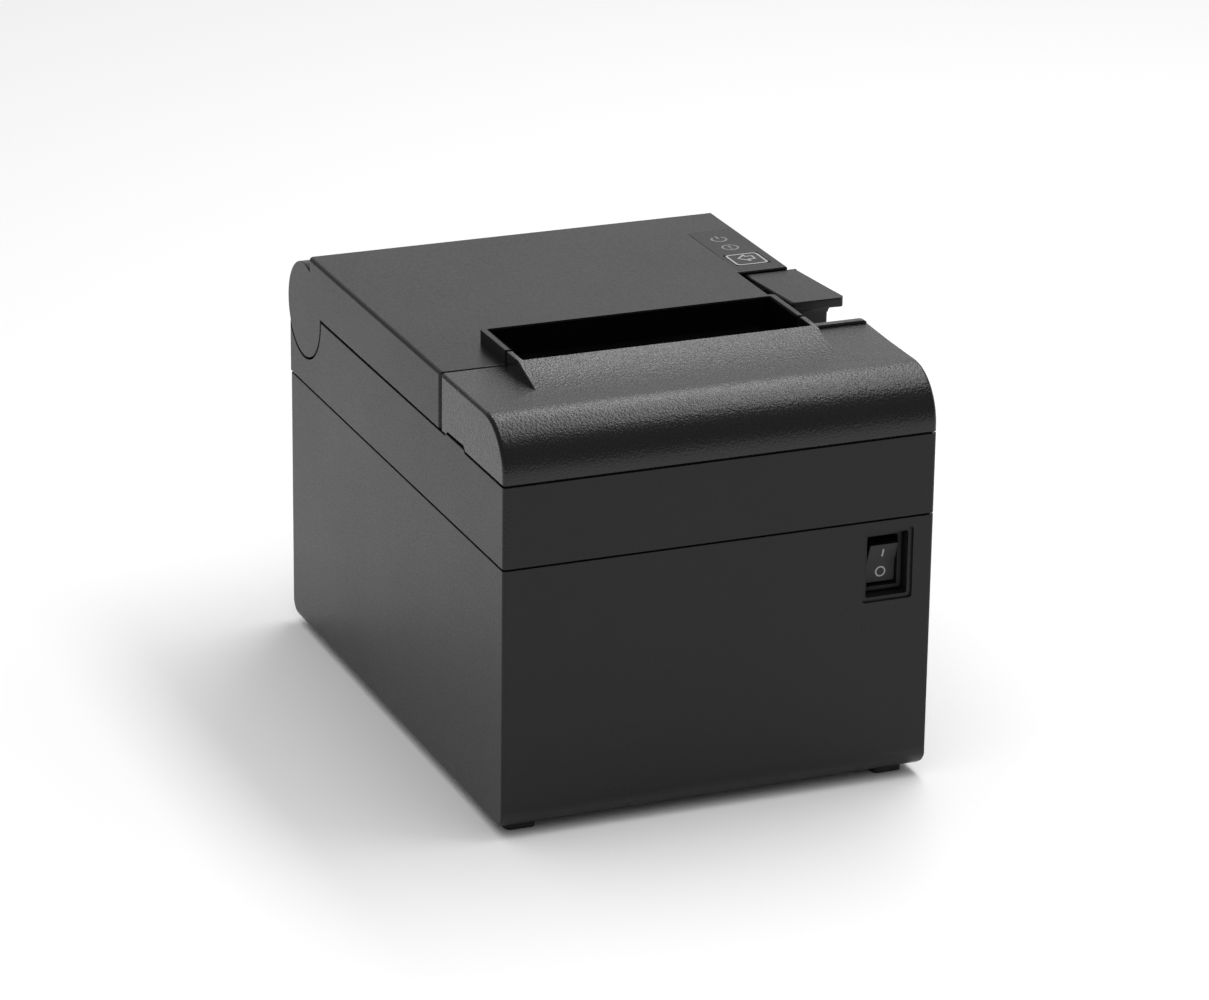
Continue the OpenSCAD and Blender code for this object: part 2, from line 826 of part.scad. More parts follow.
// Groove over the tab of the middle frame, drawn in (y, z)
module tab_space() {
  tab_top = mid_top + tab_h;
  polygon([
    [tab_y + slip_gap, lid_bottom - 1],
    [tab_y + slip_gap, tab_top + slip_gap],
    [tab_y - tab_gap, tab_top + slip_gap],
    [tab_y - tab_gap - 0.6, tab_top + tab_gap],
    [tab_y - tab_l, tab_top + tab_gap],
    [tab_y - tab_l - tab_h - tab_gap, lid_bottom - 1]]);
}

cover_boss_top = top_z - wall - 4;
throat_y = platen_y - 11.2;
throat_z = blade_z + blade_t + 2.1;

// Ramp and the front part of the rim
module ramp_outline() {
  polygon([
    [cover_rear_y, top_in],
    [cover_rear_y, top_z],
    [rim_seam_y, top_z],
    [rim_seam_y, rim_z],
    [ramp_top_y, rim_z],
    [ramp_foot_y, top_z],
    [ramp_foot_y, top_in]]);
}

// Open space of the exit in front of the seam
module well_space() {
  polygon([
    [cover_rear_y + 5, rim_z + 1],
    [ramp_top_y, rim_z + 1],
    [ramp_top_y, rim_z],
    [throat_y, throat_z],
    [throat_y, throat_z - 3],
    [cover_rear_y + 5, throat_z - 3]]);
}

// Hollow under the ramp
module under_ramp() {
  slope = rim_h / (ramp_end - ramp_start);
  polygon([
    [ramp_foot_y, top_in],
    [ramp_top_y - 3, top_in + slope * (ramp_end - ramp_start - 3)],
    [throat_y - 3, throat_z],
    [throat_y - 3, throat_z - 2],
    [ramp_foot_y, throat_z - 2]]);
}

// Front wall of the chute, down to the cutter
module chute_front() {
  polygon([
    [ramp_top_y, rim_z],
    [throat_y, throat_z],
    [throat_y - 1.9, throat_z],
    [ramp_top_y - 2.6, rim_z - 1]]);
}

// Side wall of the chute below the top
module chute_side() {
  polygon([
    [cover_rear_y, top_in + 0.5],
    [cover_rear_y, throat_z],
    [throat_y - 1, throat_z],
    [ramp_top_y, top_in + 0.5]]);
}

// Raised lip and closing wall beside the lever
module rear_lip() {
  box(lid_cut_x + fit_gap, side_x, cover_rear_y, seam_y + 1.5, lid_bottom, top_z + 1);
  box(lid_cut_x - 2.5, side_x, cover_rear_y - 0.8, cover_rear_y, top_z - 1, top_z + 1);
}

// ---------------------------------------- paper path

module paper_bucket() {
  color(liner_black)
    difference() {
      union() {
        along_x(-bucket_x - bucket_t, bucket_x + bucket_t) bucket_outline(bucket_r + bucket_t);
        both_sides()
          box(bucket_x, bucket_x + bucket_t + 4, bucket_y - bucket_r + 4,
            bucket_y + bucket_r, deck_top, deck_top + 1.6);
      }
      along_x(-bucket_x, bucket_x)
        union() {
          translate([bucket_y, bucket_z]) circle(bucket_r);
          rect(bucket_y - bucket_r, bucket_y + bucket_r, bucket_z,
            bucket_z + bucket_r + bucket_t + 4);
        }
      box(-bucket_x - bucket_t - 1, bucket_x + bucket_t + 1, bucket_y - bucket_r - bucket_t - 1,
        bucket_y - bucket_r + 3.5, bucket_lip_z, deck_top + 4);
      rod_x(-bucket_x - bucket_t - 1, -bucket_x + 1, sensor_y, sensor_z, 3.2);
    }
}

sensor_y = bucket_y - 12;
sensor_z = bucket_z - 6;

module bucket_outline(r) {
  translate([bucket_y, bucket_z]) circle(r);
  rect(bucket_y - r, bucket_y + r, bucket_z, deck_top);
  rect(bucket_y - bucket_r + 3.5, bucket_y + r, deck_top - 1, deck_top + 1.6);
}

module paper_end_sensor() {
  color(liner_black) {
    box(-bucket_x - bucket_t - 7, -bucket_x - bucket_t, sensor_y - 6, sensor_y + 6,
      sensor_z - 5, sensor_z + 5);
    rod_x(-bucket_x - bucket_t, -bucket_x - 0.4, sensor_y, sensor_z, 2.9);
  }
}

// Lower guide that leads the paper under the platen to the head
module paper_guide() {
  color(liner_black)
    difference() {
      union() {
        box(-bucket_x, bucket_x, platen_y - 5, bucket_y - bucket_r - bucket_t - fit_gap,
          platen_z - 16, bucket_lip_z + 1);
        box(-plate_x, plate_x, platen_y - 1, platen_y + 8, platen_z - 16, bucket_lip_z - 2);
      }
      rod_x(-plate_x - 1, plate_x + 1, platen_y, platen_z, platen_r + 1.2);
    }
}

// ---------------------------------------- mechanism frame

module mech_frame() {
  color(steel)
    difference() {
      union() {
        both_sides() along_x(plate_x, plate_out) side_plate_outline();
        box(-plate_x - 0.5, plate_x + 0.5, post_ys[0] - 5, post_ys[1] + 5, mech_floor,
          mech_floor + sheet_t);
        both_sides()
          box(cut_x - 6, plate_x + 0.5, cut_y0, head_y - 8, mech_top - sheet_t, mech_top);
        box(-plate_x - 0.5, plate_x + 0.5, spring_wall_y - sheet_t, spring_wall_y,
          spring_z - 8, spring_z + 5);
      }
      both_sides() platen_slot();
      for (y = post_ys)
        both_sides()
          rod_z(mech_floor - 1, mech_floor + 3, post_x, y, screw_r + 0.1);
      rod_x(-plate_out - 1, plate_out + 1, head_pivot_y, head_pivot_z, head_pivot_r + 0.02);
      rod_x(-plate_out - 1, -plate_x + 1, motor_y, motor_z, motor_boss_r + 0.1);
      for (a = motor_ear_angles)
        rod_x(-plate_out - 1, -plate_x + 1, motor_y + motor_ear_r * cos(a),
          motor_z + motor_ear_r * sin(a), screw_r + 0.1);
      rod_x(-plate_out - 1, -plate_x + 1, idler_y, idler_z, idler_post_r - 1);
      both_sides() rod_x(plate_x - 1, plate_out + 1, catch_y, catch_z, catch_r + 0.02);
      for (y = cut_screw_ys)
        both_sides() rod_z(mech_top - 3, mech_top + 1, cut_screw_x, y, 1.25);
      rod_z(mech_top - 3, mech_top + 1, cut_pinion_x, cut_motor_y, cut_motor_r + 0.4);
    }
}

motor_boss_r = 5;
motor_ear_r = 21.5;
motor_ear_angles = [140, 320];
cut_screw_x = cut_x - 2.6;
cut_screw_ys = [cut_y0 + 4, head_y - 12];

// Side plate with its rear arm, drawn in (y, z)
module side_plate_outline() {
  low_front = post_ys[0] - 5;
  low_rear = post_ys[1] + 5;
  polygon([
    [low_front, mech_floor],
    [low_rear, mech_floor],
    [low_rear + 1.5, catch_z - 10],
    [catch_y + 5, catch_z - 4],
    [catch_y + 5, catch_z + 4],
    [mech_rear_y + 6, catch_z + 4],
    [mech_rear_y + 2, mech_top - 3],
    [mech_rear_y, mech_top],
    [cut_y0, mech_top],
    [cut_y0, mech_top - 16],
    [low_front, mech_top - 28]]);
}

// Open slot that a platen bearing drops into
module platen_slot() {
  along_x(plate_x - 1, plate_out + 1)
    polygon([
      [platen_y - bush_r - fit_gap, platen_z - bush_r - fit_gap],
      [platen_y + bush_r + slot_side, platen_z - bush_r - fit_gap],
      [platen_y + bush_r + slot_side + 1, mech_top + 1],
      [platen_y - bush_r - fit_gap, mech_top + 1]]);
}

module feed_motor() {
  color(steel)
    difference() {
      union() {
        rod_x(-plate_x, -plate_x + motor_l, motor_y, motor_z, motor_r);
        along_x(-plate_x, -plate_x + 1.5)
          union() {
            for (a = motor_ear_angles)
              translate([motor_y + motor_ear_r * cos(a), motor_z + motor_ear_r * sin(a)])
                circle(3.6);
            translate([motor_y, motor_z]) rotate(motor_ear_angles[0])
              square([2 * motor_ear_r, 7.2], center = true);
          }
        rod_x(-plate_out - 0.4, -plate_x + 1, motor_y, motor_z, motor_boss_r);
      }
      for (a = motor_ear_angles)
        rod_x(-plate_x - 1, -plate_x + 3, motor_y + motor_ear_r * cos(a),
          motor_z + motor_ear_r * sin(a), screw_r + 0.05);
      rod_x(-plate_out - 1, -plate_x + 8, motor_y, motor_z, motor_shaft_r + run_gap);
    }
}

module motor_screws() {
  color(steel)
    for (a = motor_ear_angles)
      translate([-plate_out, motor_y + motor_ear_r * cos(a), motor_z + motor_ear_r * sin(a)])
        rotate([0, -90, 0]) screw_down(0, 0, 0, sheet_t + 1.5, screw_r, screw_head_r);
}

module motor_pinion() {
  color("goldenrod") {
    along_x(-gear_x - gear_w, -gear_x)
      translate([motor_y, motor_z]) gear_outline(pinion_teeth, feed_module, pinion_phase, feed_backlash);
    rod_x(-gear_x - gear_w - 0.8, -plate_x + 7, motor_y, motor_z, motor_shaft_r);
  }
}

idler_phase = 90;
pinion_phase = mesh_phase(idler_phase, motor_dir, idler_teeth, pinion_teeth);
platen_phase = mesh_phase(idler_phase, 90, idler_teeth, platen_teeth);

module idler_gear() {
  color(gear_white)
    difference() {
      union() {
        along_x(-gear_x - gear_w, -gear_x)
          translate([idler_y, idler_z])
            gear_outline(idler_teeth, feed_module, idler_phase, feed_backlash);
        rod_x(-gear_x - gear_w, -gear_x + 0.4, idler_y, idler_z, 5);
      }
      rod_x(-gear_x - gear_w - 1, -gear_x + 1, idler_y, idler_z, idler_post_r + run_gap);
      difference() {
        rod_x(-gear_x - gear_w - 1, -gear_x - gear_w + 1, idler_y, idler_z, idler_pr - 3);
        rod_x(-gear_x - gear_w - 2, -gear_x - gear_w + 2, idler_y, idler_z, 5.5);
      }
    }
}

module idler_post() {
  color(steel) {
    rod_x(-gear_x - gear_w - 0.4, -plate_out, idler_y, idler_z, idler_post_r);
    rod_x(-plate_out - 0.8, -plate_out, idler_y, idler_z, 4.4);
    rod_x(-gear_x - gear_w - 1, -gear_x - gear_w - 0.3, idler_y, idler_z, 4);
    rod_x(-plate_out - 0.1, -plate_x + 1.2, idler_y, idler_z, idler_post_r - 1);
  }
}

// ---------------------------------------- head

module head_plate() {
  color("silver")
    difference() {
      union() {
        box(-paper_w / 2 - 6, paper_w / 2 + 6, head_y, head_y + head_t, head_low, head_top);
        both_sides() {
          rod_x(paper_w / 2, paper_w / 2 + 6, head_pivot_y, head_pivot_z, 4);
          box(paper_w / 2, paper_w / 2 + 6, head_y, head_y + head_t, head_pivot_z, head_low + 1);
        }
      }
      rod_x(-paper_w, paper_w, head_pivot_y, head_pivot_z, head_pivot_r + run_gap);
      for (x = spring_xs)
        rod_y(head_y - 1, head_y + 1, x, spring_z, spring_r + 1);
    }
}

module head_strip() {
  color("ivory")
    box(-paper_w / 2 - 2, paper_w / 2 + 2, strip_y, strip_y + strip_t, head_low + 5, head_top - 0.5);
}

module head_pivot_shaft() {
  color(steel) rod_x(-plate_out, plate_out, head_pivot_y, head_pivot_z, head_pivot_r);
}

module head_springs() {
  coil_l = head_y + 1 - spring_wall_y;
  color(steel)
    for (x = spring_xs)
      translate([x, spring_wall_y + wire_r, spring_z])
        coil_spring(spring_r - wire_r, wire_r, 6, coil_l - 2 * wire_r - 0.1);
}

// ---------------------------------------- cutter

module cutter_base() {
  guide_z = blade_z - 0.1;
  color(liner_black)
    difference() {
      union() {
        box(-cut_x, cut_x, cut_y0, cut_y1, cut_low, guide_z);
        both_sides() box(blade_x + fit_gap, cut_x, cut_y0, cut_y1, guide_z - 1,
          blade_z + blade_t + 0.2);
      }
      difference() {
        box(-cut_x + 9, cut_x - 9, cut_y0 + 2, cut_y1 - 2, cut_low - 1, guide_z - 1);
        box(cut_pinion_x - cut_wheel_pr - 4, cut_pinion_x + cut_wheel_pr + 4, cut_y0, cut_y1,
          cut_low - 2, cut_low + 1.4);
        rod_z(cut_low - 1, wheel_z - 0.2, cut_pinion_x, cut_pinion_y, 3);
      }
      rod_z(wheel_z - 0.2, guide_z + 1, cut_pinion_x, cut_pinion_y, cut_wheel_pr + 1.4);
      rod_z(wheel_z - 0.2, guide_z + 1, cut_pinion_x, cut_motor_y, cut_motor_pr + 1.4);
      rod_z(cut_low - 1, guide_z + 1, cut_pinion_x, cut_pinion_y, cut_axle_r + run_gap);
      rod_z(cut_low - 1, guide_z, cut_pinion_x, cut_motor_y, 2.6);
      for (y = cut_screw_ys)
        both_sides() rod_z(cut_low - 1, blade_z + 4, cut_screw_x, y, screw_r - 0.2);
    }
}

module cutter_cover() {
  z0 = blade_z + blade_t + 0.2;
  color(steel)
    difference() {
      box(-cut_x, cut_x, cut_y0, cut_y1, z0, z0 + 1);
      for (y = cut_screw_ys)
        both_sides() rod_z(z0 - 1, z0 + 2, cut_screw_x, y, screw_r);
      rod_z(z0 - 1, z0 + 2, cut_pinion_x, cut_pinion_y, cut_axle_r + run_gap);
      along_z(z0 - 1, z0 + 2) round_rect(-8, 30, cut_y0 + 8, cut_y0 + 22, 3);
    }
}

module cutter_screws() {
  z0 = blade_z + blade_t + 1.2;
  color(steel)
    for (y = cut_screw_ys)
      both_sides()
        screw_down(cut_screw_x, y, z0, z0 - mech_top + 2, 1.2, 2.2);
}

// Moving blade with a V edge and a rack
module cutter_blade() {
  rear = cut_y0 + 3;
  rack_len = blade_travel + 6;
  color(steel)
    difference() {
      along_z(blade_z, blade_z + blade_t)
        polygon([
          [-blade_x, blade_edge_y],
          [0, blade_edge_y - 4],
          [blade_x, blade_edge_y],
          [blade_x, blade_edge_y - 12],
          [14, rear],
          [rack_x + rack_depth, rear],
          [rack_x + rack_depth, cut_pinion_y + 5.4],
          [-blade_x, blade_edge_y - 12]]);
    }
  color(steel)
    along_z(blade_z, blade_z + blade_t)
      rack_outline(rack_len);
}

rack_depth = 3;

// Rack with its teeth towards -X, meshing at the pinion's side
module rack_outline(length) {
  half = rack_pitch / 4 - cut_backlash / 2;
  lean = tan(20) * cut_module;
  rect(rack_x + 1.2 * cut_module, rack_x + rack_depth + 1, cut_pinion_y - length, cut_pinion_y + 5);
  for (k = [-floor(length / rack_pitch):1]) {
    y = cut_pinion_y + (k - 0.5) * rack_pitch;
    polygon([
      [rack_x + 1.3 * cut_module, y - half - 1.3 * lean],
      [rack_x - 0.85 * cut_module, y - half + 0.85 * lean],
      [rack_x - 0.85 * cut_module, y + half - 0.85 * lean],
      [rack_x + 1.3 * cut_module, y + half + 1.3 * lean]]);
  }
}

module cutter_pinion() {
  color(gear_white) {
    along_z(wheel_z, wheel_z + wheel_t)
      translate([cut_pinion_x, cut_pinion_y])
        gear_outline(cut_wheel_teeth, cut_module, 0, cut_backlash);
    along_z(wheel_z + wheel_t, blade_z + blade_t)
      translate([cut_pinion_x, cut_pinion_y])
        gear_outline(cut_pinion_teeth, cut_module, 0, cut_backlash);
    rod_z(cut_low + 0.2, blade_z + blade_t + 1, cut_pinion_x, cut_pinion_y, cut_axle_r);
  }
}

cut_motor_phase = mesh_phase(0, 270, cut_wheel_teeth, cut_motor_teeth);

module cutter_motor_gear() {
  color("goldenrod") {
    along_z(wheel_z, wheel_z + wheel_t)
      translate([cut_pinion_x, cut_motor_y])
        gear_outline(cut_motor_teeth, cut_module, cut_motor_phase, cut_backlash);
    rod_z(cut_low - 6, wheel_z + wheel_t + 0.5, cut_pinion_x, cut_motor_y, motor_shaft_r);
  }
}

module cutter_motor() {
  color(steel)
    difference() {
      union() {
        rod_z(cut_low - cut_motor_l, cut_low, cut_pinion_x, cut_motor_y, cut_motor_r);
        rod_z(cut_low, cut_low + 1, cut_pinion_x, cut_motor_y, 2.5);
      }
      rod_z(cut_low - 7, cut_low + 2, cut_pinion_x, cut_motor_y, motor_shaft_r + run_gap);
    }
}

// ---------------------------------------- electronics

module main_board() {
  color(board_green)
    difference() {
      box(-main_x, main_x, main_y0, main_y1, board_z, board_top);
      for (p = main_screws)
        rod_z(board_z - 1, board_top + 1, p[0], p[1], screw_r + 0.1);
      for (y = column_ys)
        both_sides()
          box(column_x - column_r - 0.4, main_x + 1, y - column_r - 1, y + column_r + 1,
            board_z - 1, board_top + 1);
    }
}

module power_board() {
  color(board_green)
    difference() {
      box(-power_x, power_x, power_y0, power_y1, board_z, board_top);
      for (p = power_screws)
        rod_z(board_z - 1, board_top + 1, p[0], p[1], screw_r + 0.1);
    }
}

module board_chips() {
  color(liner_black) {
    box(-12, 10, -4, 18, board_top, board_top + 1.6);
    box(-36, -26, 2, 16, board_top, board_top + 1.2);
    box(22, 34, -8, 2, board_top, board_top + 1.2);
    box(20, 30, 20, 28, board_top, board_top + 2);
    box(-40, -28, 34, 40, board_top, board_top + 4);
    box(-12, 8, 34, 46, board_top, board_top + 1.6);
    box(30, 46, 40, 48, board_top, board_top + 5);
    box(-30, -12, power_y0 + 14, power_y0 + 30, board_top, board_top + 11);
    box(4, 14, power_y0 + 8, power_y0 + 18, board_top, board_top + 4.5);
    box(22, 34, power_y0 + 28, power_y0 + 40, board_top, board_top + 8);
  }
}

module board_capacitors() {
  color("midnightblue") {
    for (x = [-4, 6, 16])
      rod_z(board_top, board_top + 15, x, power_y0 + 34, 4);
    for (y = [power_y0 + 8, power_y0 + 20])
      rod_z(board_top, board_top + 20, 28, y, 5);
    for (x = [-52, 52])
      for (y = [6, 18])
        rod_z(board_top, board_top + 9, x, y, 3.2);
  }
}

module board_standoffs() {
  color(steel)
    for (p = concat(main_screws, power_screws))
      difference() {
        rod_z(floor_z + chassis_t, board_z, p[0], p[1], 3);
        rod_z(floor_z + chassis_t + 1, board_z + 1, p[0], p[1], screw_r + 0.05);
      }
}

module board_screws() {
  color(steel)
    for (p = concat(main_screws, power_screws))
      screw_down(p[0], p[1], board_top, board_t + 4);
}

module mech_screws() {
  color(steel)
    for (y = post_ys)
      both_sides() screw_down(post_x, y, mech_floor + sheet_t, sheet_t + 8);
}

module case_screws() {
  color(steel)
    for (y = column_ys)
      both_sides() screw_up(column_x, y, low_seam_z - 8, 12.5);
}

module cover_screws() {
  color(steel)
    both_sides() screw_up(cover_boss_x, cover_boss_y, deck_z, deck_t + 8);
}

module interface_plate() {
  color(steel)
    difference() {
      along_y(plate_y0, port_face_y)
        round_rect(-port_half_w - 3, port_half_w + 3, port_low - 0.7, port_high + 3, 2);
      along_y(plate_y0 - 1, port_face_y + 1) {
        port_hole(inlet_px, inlet_w, inlet_h);
        port_hole(drawer_px, drawer_w, drawer_h);
        port_hole(serial_px, serial_w, serial_h);
        port_hole(lan_px, lan_w, lan_h);
        port_hole(usb_px, usb_w, usb_h);
      }
      for (s = [-1, 1])
        rod_y(plate_y0 - 1, port_face_y + 1, serial_px + s * jack_pitch / 2, board_top + 6,
          jack_shoulder_r + 0.1);
    }
}

inlet_w = 14;
inlet_h = 13;
drawer_w = 13.2;
drawer_h = 13;
serial_w = 19;
serial_h = 11;
lan_w = 16;
lan_h = 13.6;
usb_w = 12;
usb_h = 11;

// Outline of the hole for a socket that stands on the main board, drawn in (x, z)
module port_hole(x, w, h) {
  rect(x - w / 2 - 0.3, x + w / 2 + 0.3, board_top - 0.3, board_top + h + 0.3);
}

// Body of a socket that stands on the main board
module port_body(x, w, h, l, proud) {
  box(x - w / 2, x + w / 2, port_face_y + proud - l, port_face_y + proud, board_top, board_top + h);
}

module power_inlet() {
  color(liner_black)
    difference() {
      port_body(inlet_px, inlet_w, inlet_h, 17, 1);
      rod_y(port_face_y - 9, port_face_y + 2, inlet_px, board_top + inlet_h / 2, 5.4);
    }
  color(steel)
    for (a = [90, 210, 330])
      rod_y(port_face_y - 9.5, port_face_y - 2, inlet_px + 2.6 * cos(a),
        board_top + inlet_h / 2 + 2.6 * sin(a), 0.6);
}

module drawer_port() {
  color(liner_black)
    difference() {
      port_body(drawer_px, drawer_w, drawer_h, 17, 1);
      box(drawer_px - 4.9, drawer_px + 4.9, port_face_y - 10, port_face_y + 2,
        board_top + 2, board_top + 9);
      box(drawer_px - 2, drawer_px + 2, port_face_y - 10, port_face_y + 2,
        board_top + 8, board_top + 11.5);
    }
}

module serial_port() {
  color(steel)
    difference() {
      union() {
        port_body(serial_px, 31, serial_h + 1.4, 1, -1);
        port_body(serial_px, serial_w, serial_h, 14, -1);
        along_y(port_face_y - 2, port_face_y + 2) shell_outline(0);
      }
      along_y(port_face_y - 7, port_face_y + 3) shell_outline(0.8);
      for (s = [-1, 1])
        rod_y(port_face_y - 20, port_face_y + 1, serial_px + s * jack_pitch / 2,
          board_top + 6, jack_shoulder_r + 0.05);
    }
  color("goldenrod")
    for (i = [0:8])
      rod_y(port_face_y - 8, port_face_y + 0.5,
        serial_px + (i < 5 ? (i - 2) * 2.77 : (i - 6.5) * 2.77),
        board_top + (i < 5 ? 7.4 : 4.6), 0.5);
}

// D-shaped shell of the serial port, drawn in (x, z)
module shell_outline(inset) {
  z = board_top + 6;
  polygon([
    [serial_px - 8.4 + inset, z + 4.1 - inset],
    [serial_px + 8.4 - inset, z + 4.1 - inset],
    [serial_px + 7.2 - inset, z - 4.1 + inset],
    [serial_px - 7.2 + inset, z - 4.1 + inset]]);
}

module serial_jackscrews() {
  color(steel)
    for (s = [-1, 1])
      difference() {
        union() {
          translate([serial_px + s * jack_pitch / 2, port_face_y, board_top + 6])
            rotate([-90, 0, 0]) cylinder(h = jack_l, r = 2.7, $fn = 6);
          rod_y(port_face_y - 8, port_face_y + 0.1, serial_px + s * jack_pitch / 2,
            board_top + 6, jack_shoulder_r);
        }
        rod_y(port_face_y + 0.4, port_face_y + jack_l + 1, serial_px + s * jack_pitch / 2,
          board_top + 6, jack_r);
      }
}

module lan_port() {
  color(steel)
    difference() {
      port_body(lan_px, lan_w, lan_h, 21, 1);
      box(lan_px - 6, lan_px + 6, port_face_y - 12, port_face_y + 2, board_top + 4, board_top + 12);
      box(lan_px - 3, lan_px + 3, port_face_y - 12, port_face_y + 2, board_top + 1, board_top + 5);
    }
}

module usb_port() {
  color(steel)
    difference() {
      port_body(usb_px, usb_w, usb_h, 16, 1);
      along_y(port_face_y - 8, port_face_y + 2)
        polygon([
          [usb_px - 4.3, board_top + 1.6],
          [usb_px + 4.3, board_top + 1.6],
          [usb_px + 4.3, board_top + 7.6],
          [usb_px + 2.7, board_top + 9.2],
          [usb_px - 2.7, board_top + 9.2],
          [usb_px - 4.3, board_top + 7.6]]);
    }
  color("white")
    box(usb_px - 2.8, usb_px + 2.8, port_face_y - 8.5, port_face_y - 0.2,
      board_top + 3.8, board_top + 6.8);
}

// ---------------------------------------- switch

module switch_body() {
  color(liner_black)
    difference() {
      union() {
        along_y(bezel_y, front_y + recess_d)
          round_rect(switch_x - bezel_w / 2, switch_x + bezel_w / 2,
            switch_z - bezel_h / 2, switch_z + bezel_h / 2, 0.6);
        box(switch_x - bezel_w / 2 + 0.7, switch_x + bezel_w / 2 - 0.7, bezel_y + 1,
          bezel_y + switch_deep, switch_z - bezel_h / 2 + 1, switch_z + bezel_h / 2 - 1);
      }
      box(switch_x - rocker_w / 2 - 0.2, switch_x + rocker_w / 2 + 0.2, bezel_y - 1,
        bezel_y + 9, switch_z - rocker_h / 2 - 1.4, switch_z + rocker_h / 2 + 1.4);
      rod_x(switch_x - rocker_w / 2 - 1.2, switch_x + rocker_w / 2 + 1.2, rocker_y, switch_z,
        1.2 + run_gap);
    }
  color("gold")
    for (z = [-5, 0, 5])
      box(switch_x - 2.4, switch_x + 2.4, bezel_y + switch_deep - 0.5, bezel_y + switch_deep + 7,
        switch_z + z - 0.4, switch_z + z + 0.4);
}

module switch_rocker() {
  half = rocker_h / 2;
  color(liner_black) {
    along_x(switch_x - rocker_w / 2, switch_x + rocker_w / 2)
      translate([rocker_y, switch_z]) rotate(rocker_swing / 2)
        polygon([
          [-4.2, -half],
          [-3.1, 0],
          [-4.2, half],
          [-0.5, half],
          [2.6, half - 3],
          [2.6, 3 - half],
          [-0.5, -half]]);
    rod_x(switch_x - rocker_w / 2 - 1, switch_x + rocker_w / 2 + 1, rocker_y, switch_z, 1.2);
  }
}

// ---------------------------------------- lid

// Outline of the lid's side wall, drawn in (y, z)
module lid_side_outline() {
  rect(lid_front_y, step_y, lid_bottom, top_z);
  translate([hinge_y, hinge_z]) circle(barrel_r);
}

module lid_shell() {
  rib_x = plate_out + 1.2;
  color(case_grey)
    difference() {
      union() {
        both_sides() along_x(inner_x, side_x) lid_side_outline();
        box(-side_x, side_x, lid_front_y, step_y, top_in, top_z);
        box(-side_x, side_x, step_y - wall, step_y, hinge_z + 13, top_z);
        barrel_skin();
        along_z(top_in, rim_z) exit_plan(rim_x, lid_front_y, rim_back_y, rim_corner_r + 0.6);
        both_sides() rod_x(inner_x - 1.6, inner_x + 1, hinge_y, hinge_z, 6);
        lever_pocket_walls();
        box(-rib_x - 1.4, -rib_x, latch_y - 8, latch_y + 8, latch_z - 5, top_in + 1);
        rod_x(-rib_x - 1.6, -rib_x + 0.6, latch_y, latch_z, 4);
        rod_x(lid_cut_x - 3.4, lid_cut_x, latch_y, latch_z, 4);
        for (x = lid_boss_xs)
          rod_z(flange_z, top_in + 1, x, lid_boss_y, 3.4);
        for (p = panel_bosses)
          rod_z(panel_board_z + board_t, top_in + 1, p[0], p[1], 2.4);
        for (x = [-40, 0, 40])
          box(x - 0.8, x + 0.8, latch_y + 10, step_y - 1, top_in - 4, top_in + 1);
      }
      lid_notch();
      along_z(top_in - 1, rim_z + 1)
        exit_plan(rim_in, lid_front_y - 1, collar_y + slip_gap, rim_corner_r);
      both_sides() rod_x(inner_x - 3, inner_x + 1.5, hinge_y, hinge_z, pin_r + run_gap);
      rod_x(-rib_x - 3, lid_cut_x + 1, latch_y, latch_z, latch_r + run_gap);
      for (x = lid_boss_xs)
        rod_z(flange_z - 1, top_in + 0.6, x, lid_boss_y, screw_r + 0.05);
      for (p = panel_bosses)
        rod_z(panel_board_z, top_in + 0.4, p[0], p[1], 1.05);
      film_space(0);
      box(button_x - button_w / 2 - button_gap, button_x + button_w / 2 + button_gap,
        button_y - button_l / 2 - button_gap, button_y + button_l / 2 + button_gap,
        top_in - 1, top_z + 1);
      for (i = [0, 1])
        rod_z(top_in - 1, top_z + 1, light_xs[i], light_ys[i], light_r + 0.1);
    }
}

lid_boss_xs = [-30, 0, 30];
lid_boss_y = rim_back_y + 3.4;
flange_z = top_in - 4;
panel_boss_y = button_y + button_l / 2 + 2.8;
panel_bosses = [[film_x0 + 3.6, panel_boss_y], [side_x - 5.2, panel_boss_y], [side_x - 5.2, film_y1 - 4]];

// Plan of the paper exit, w to each side of the middle, with round rear corners
module exit_plan(w, y0, y1, r) {
  rect(-w, w, y0, y1 - r);
  rect(-w + r, w - r, y0, y1);
  for (s = [-1, 1])
    translate([s * (w - r), y1 - r]) circle(r);
}

// Skin round the hinge axis, from the step round the rear to below the axis
module barrel_skin() {
  along_x(-side_x, side_x)
    intersection() {
      difference() {
        translate([hinge_y, hinge_z]) circle(barrel_r);
        translate([hinge_y, hinge_z]) circle(barrel_r - wall);
      }
      polygon([
        [hinge_y, hinge_z],
        [step_y - 1, hinge_z + 22],
        [hinge_y + 22, hinge_z + 22],
        [hinge_y + 22, hinge_z - 10]]);
    }
}

// Walls that close the lid beside the lever
module lever_pocket_walls() {
  box(lid_cut_x - cut_wall, lid_cut_x, lid_front_y, notch_y + 4, lid_seam_z + 2, top_z);
  box(lid_cut_x - cut_wall, side_x, notch_y + 2.4, notch_y + 3.8, lid_bottom, top_z);
}

// Space for the lever: the lid is cut back, with a round undercut behind the lever's pivot
module lid_notch() {
  difference() {
    union() {
      box(lid_cut_x, side_x + 1, lid_front_y - 1, notch_y, lid_bottom - 1, rim_z);
      rod_x(lid_cut_x, side_x + 1, latch_y, latch_z, lever_arc_r + 0.4);
    }
    box(lid_cut_x - 1, side_x + 2, notch_y + 2.4, notch_y + 5, lid_bottom - 2, top_z);
  }
}

// Recess for the film, or the film's own outline
module film_space(gap) {
  along_z(top_z - film_t, top_z + 1)
    round_rect(film_x0 + gap, film_x1 - gap, film_y0 + gap, film_y1 - gap, 1.2);
}

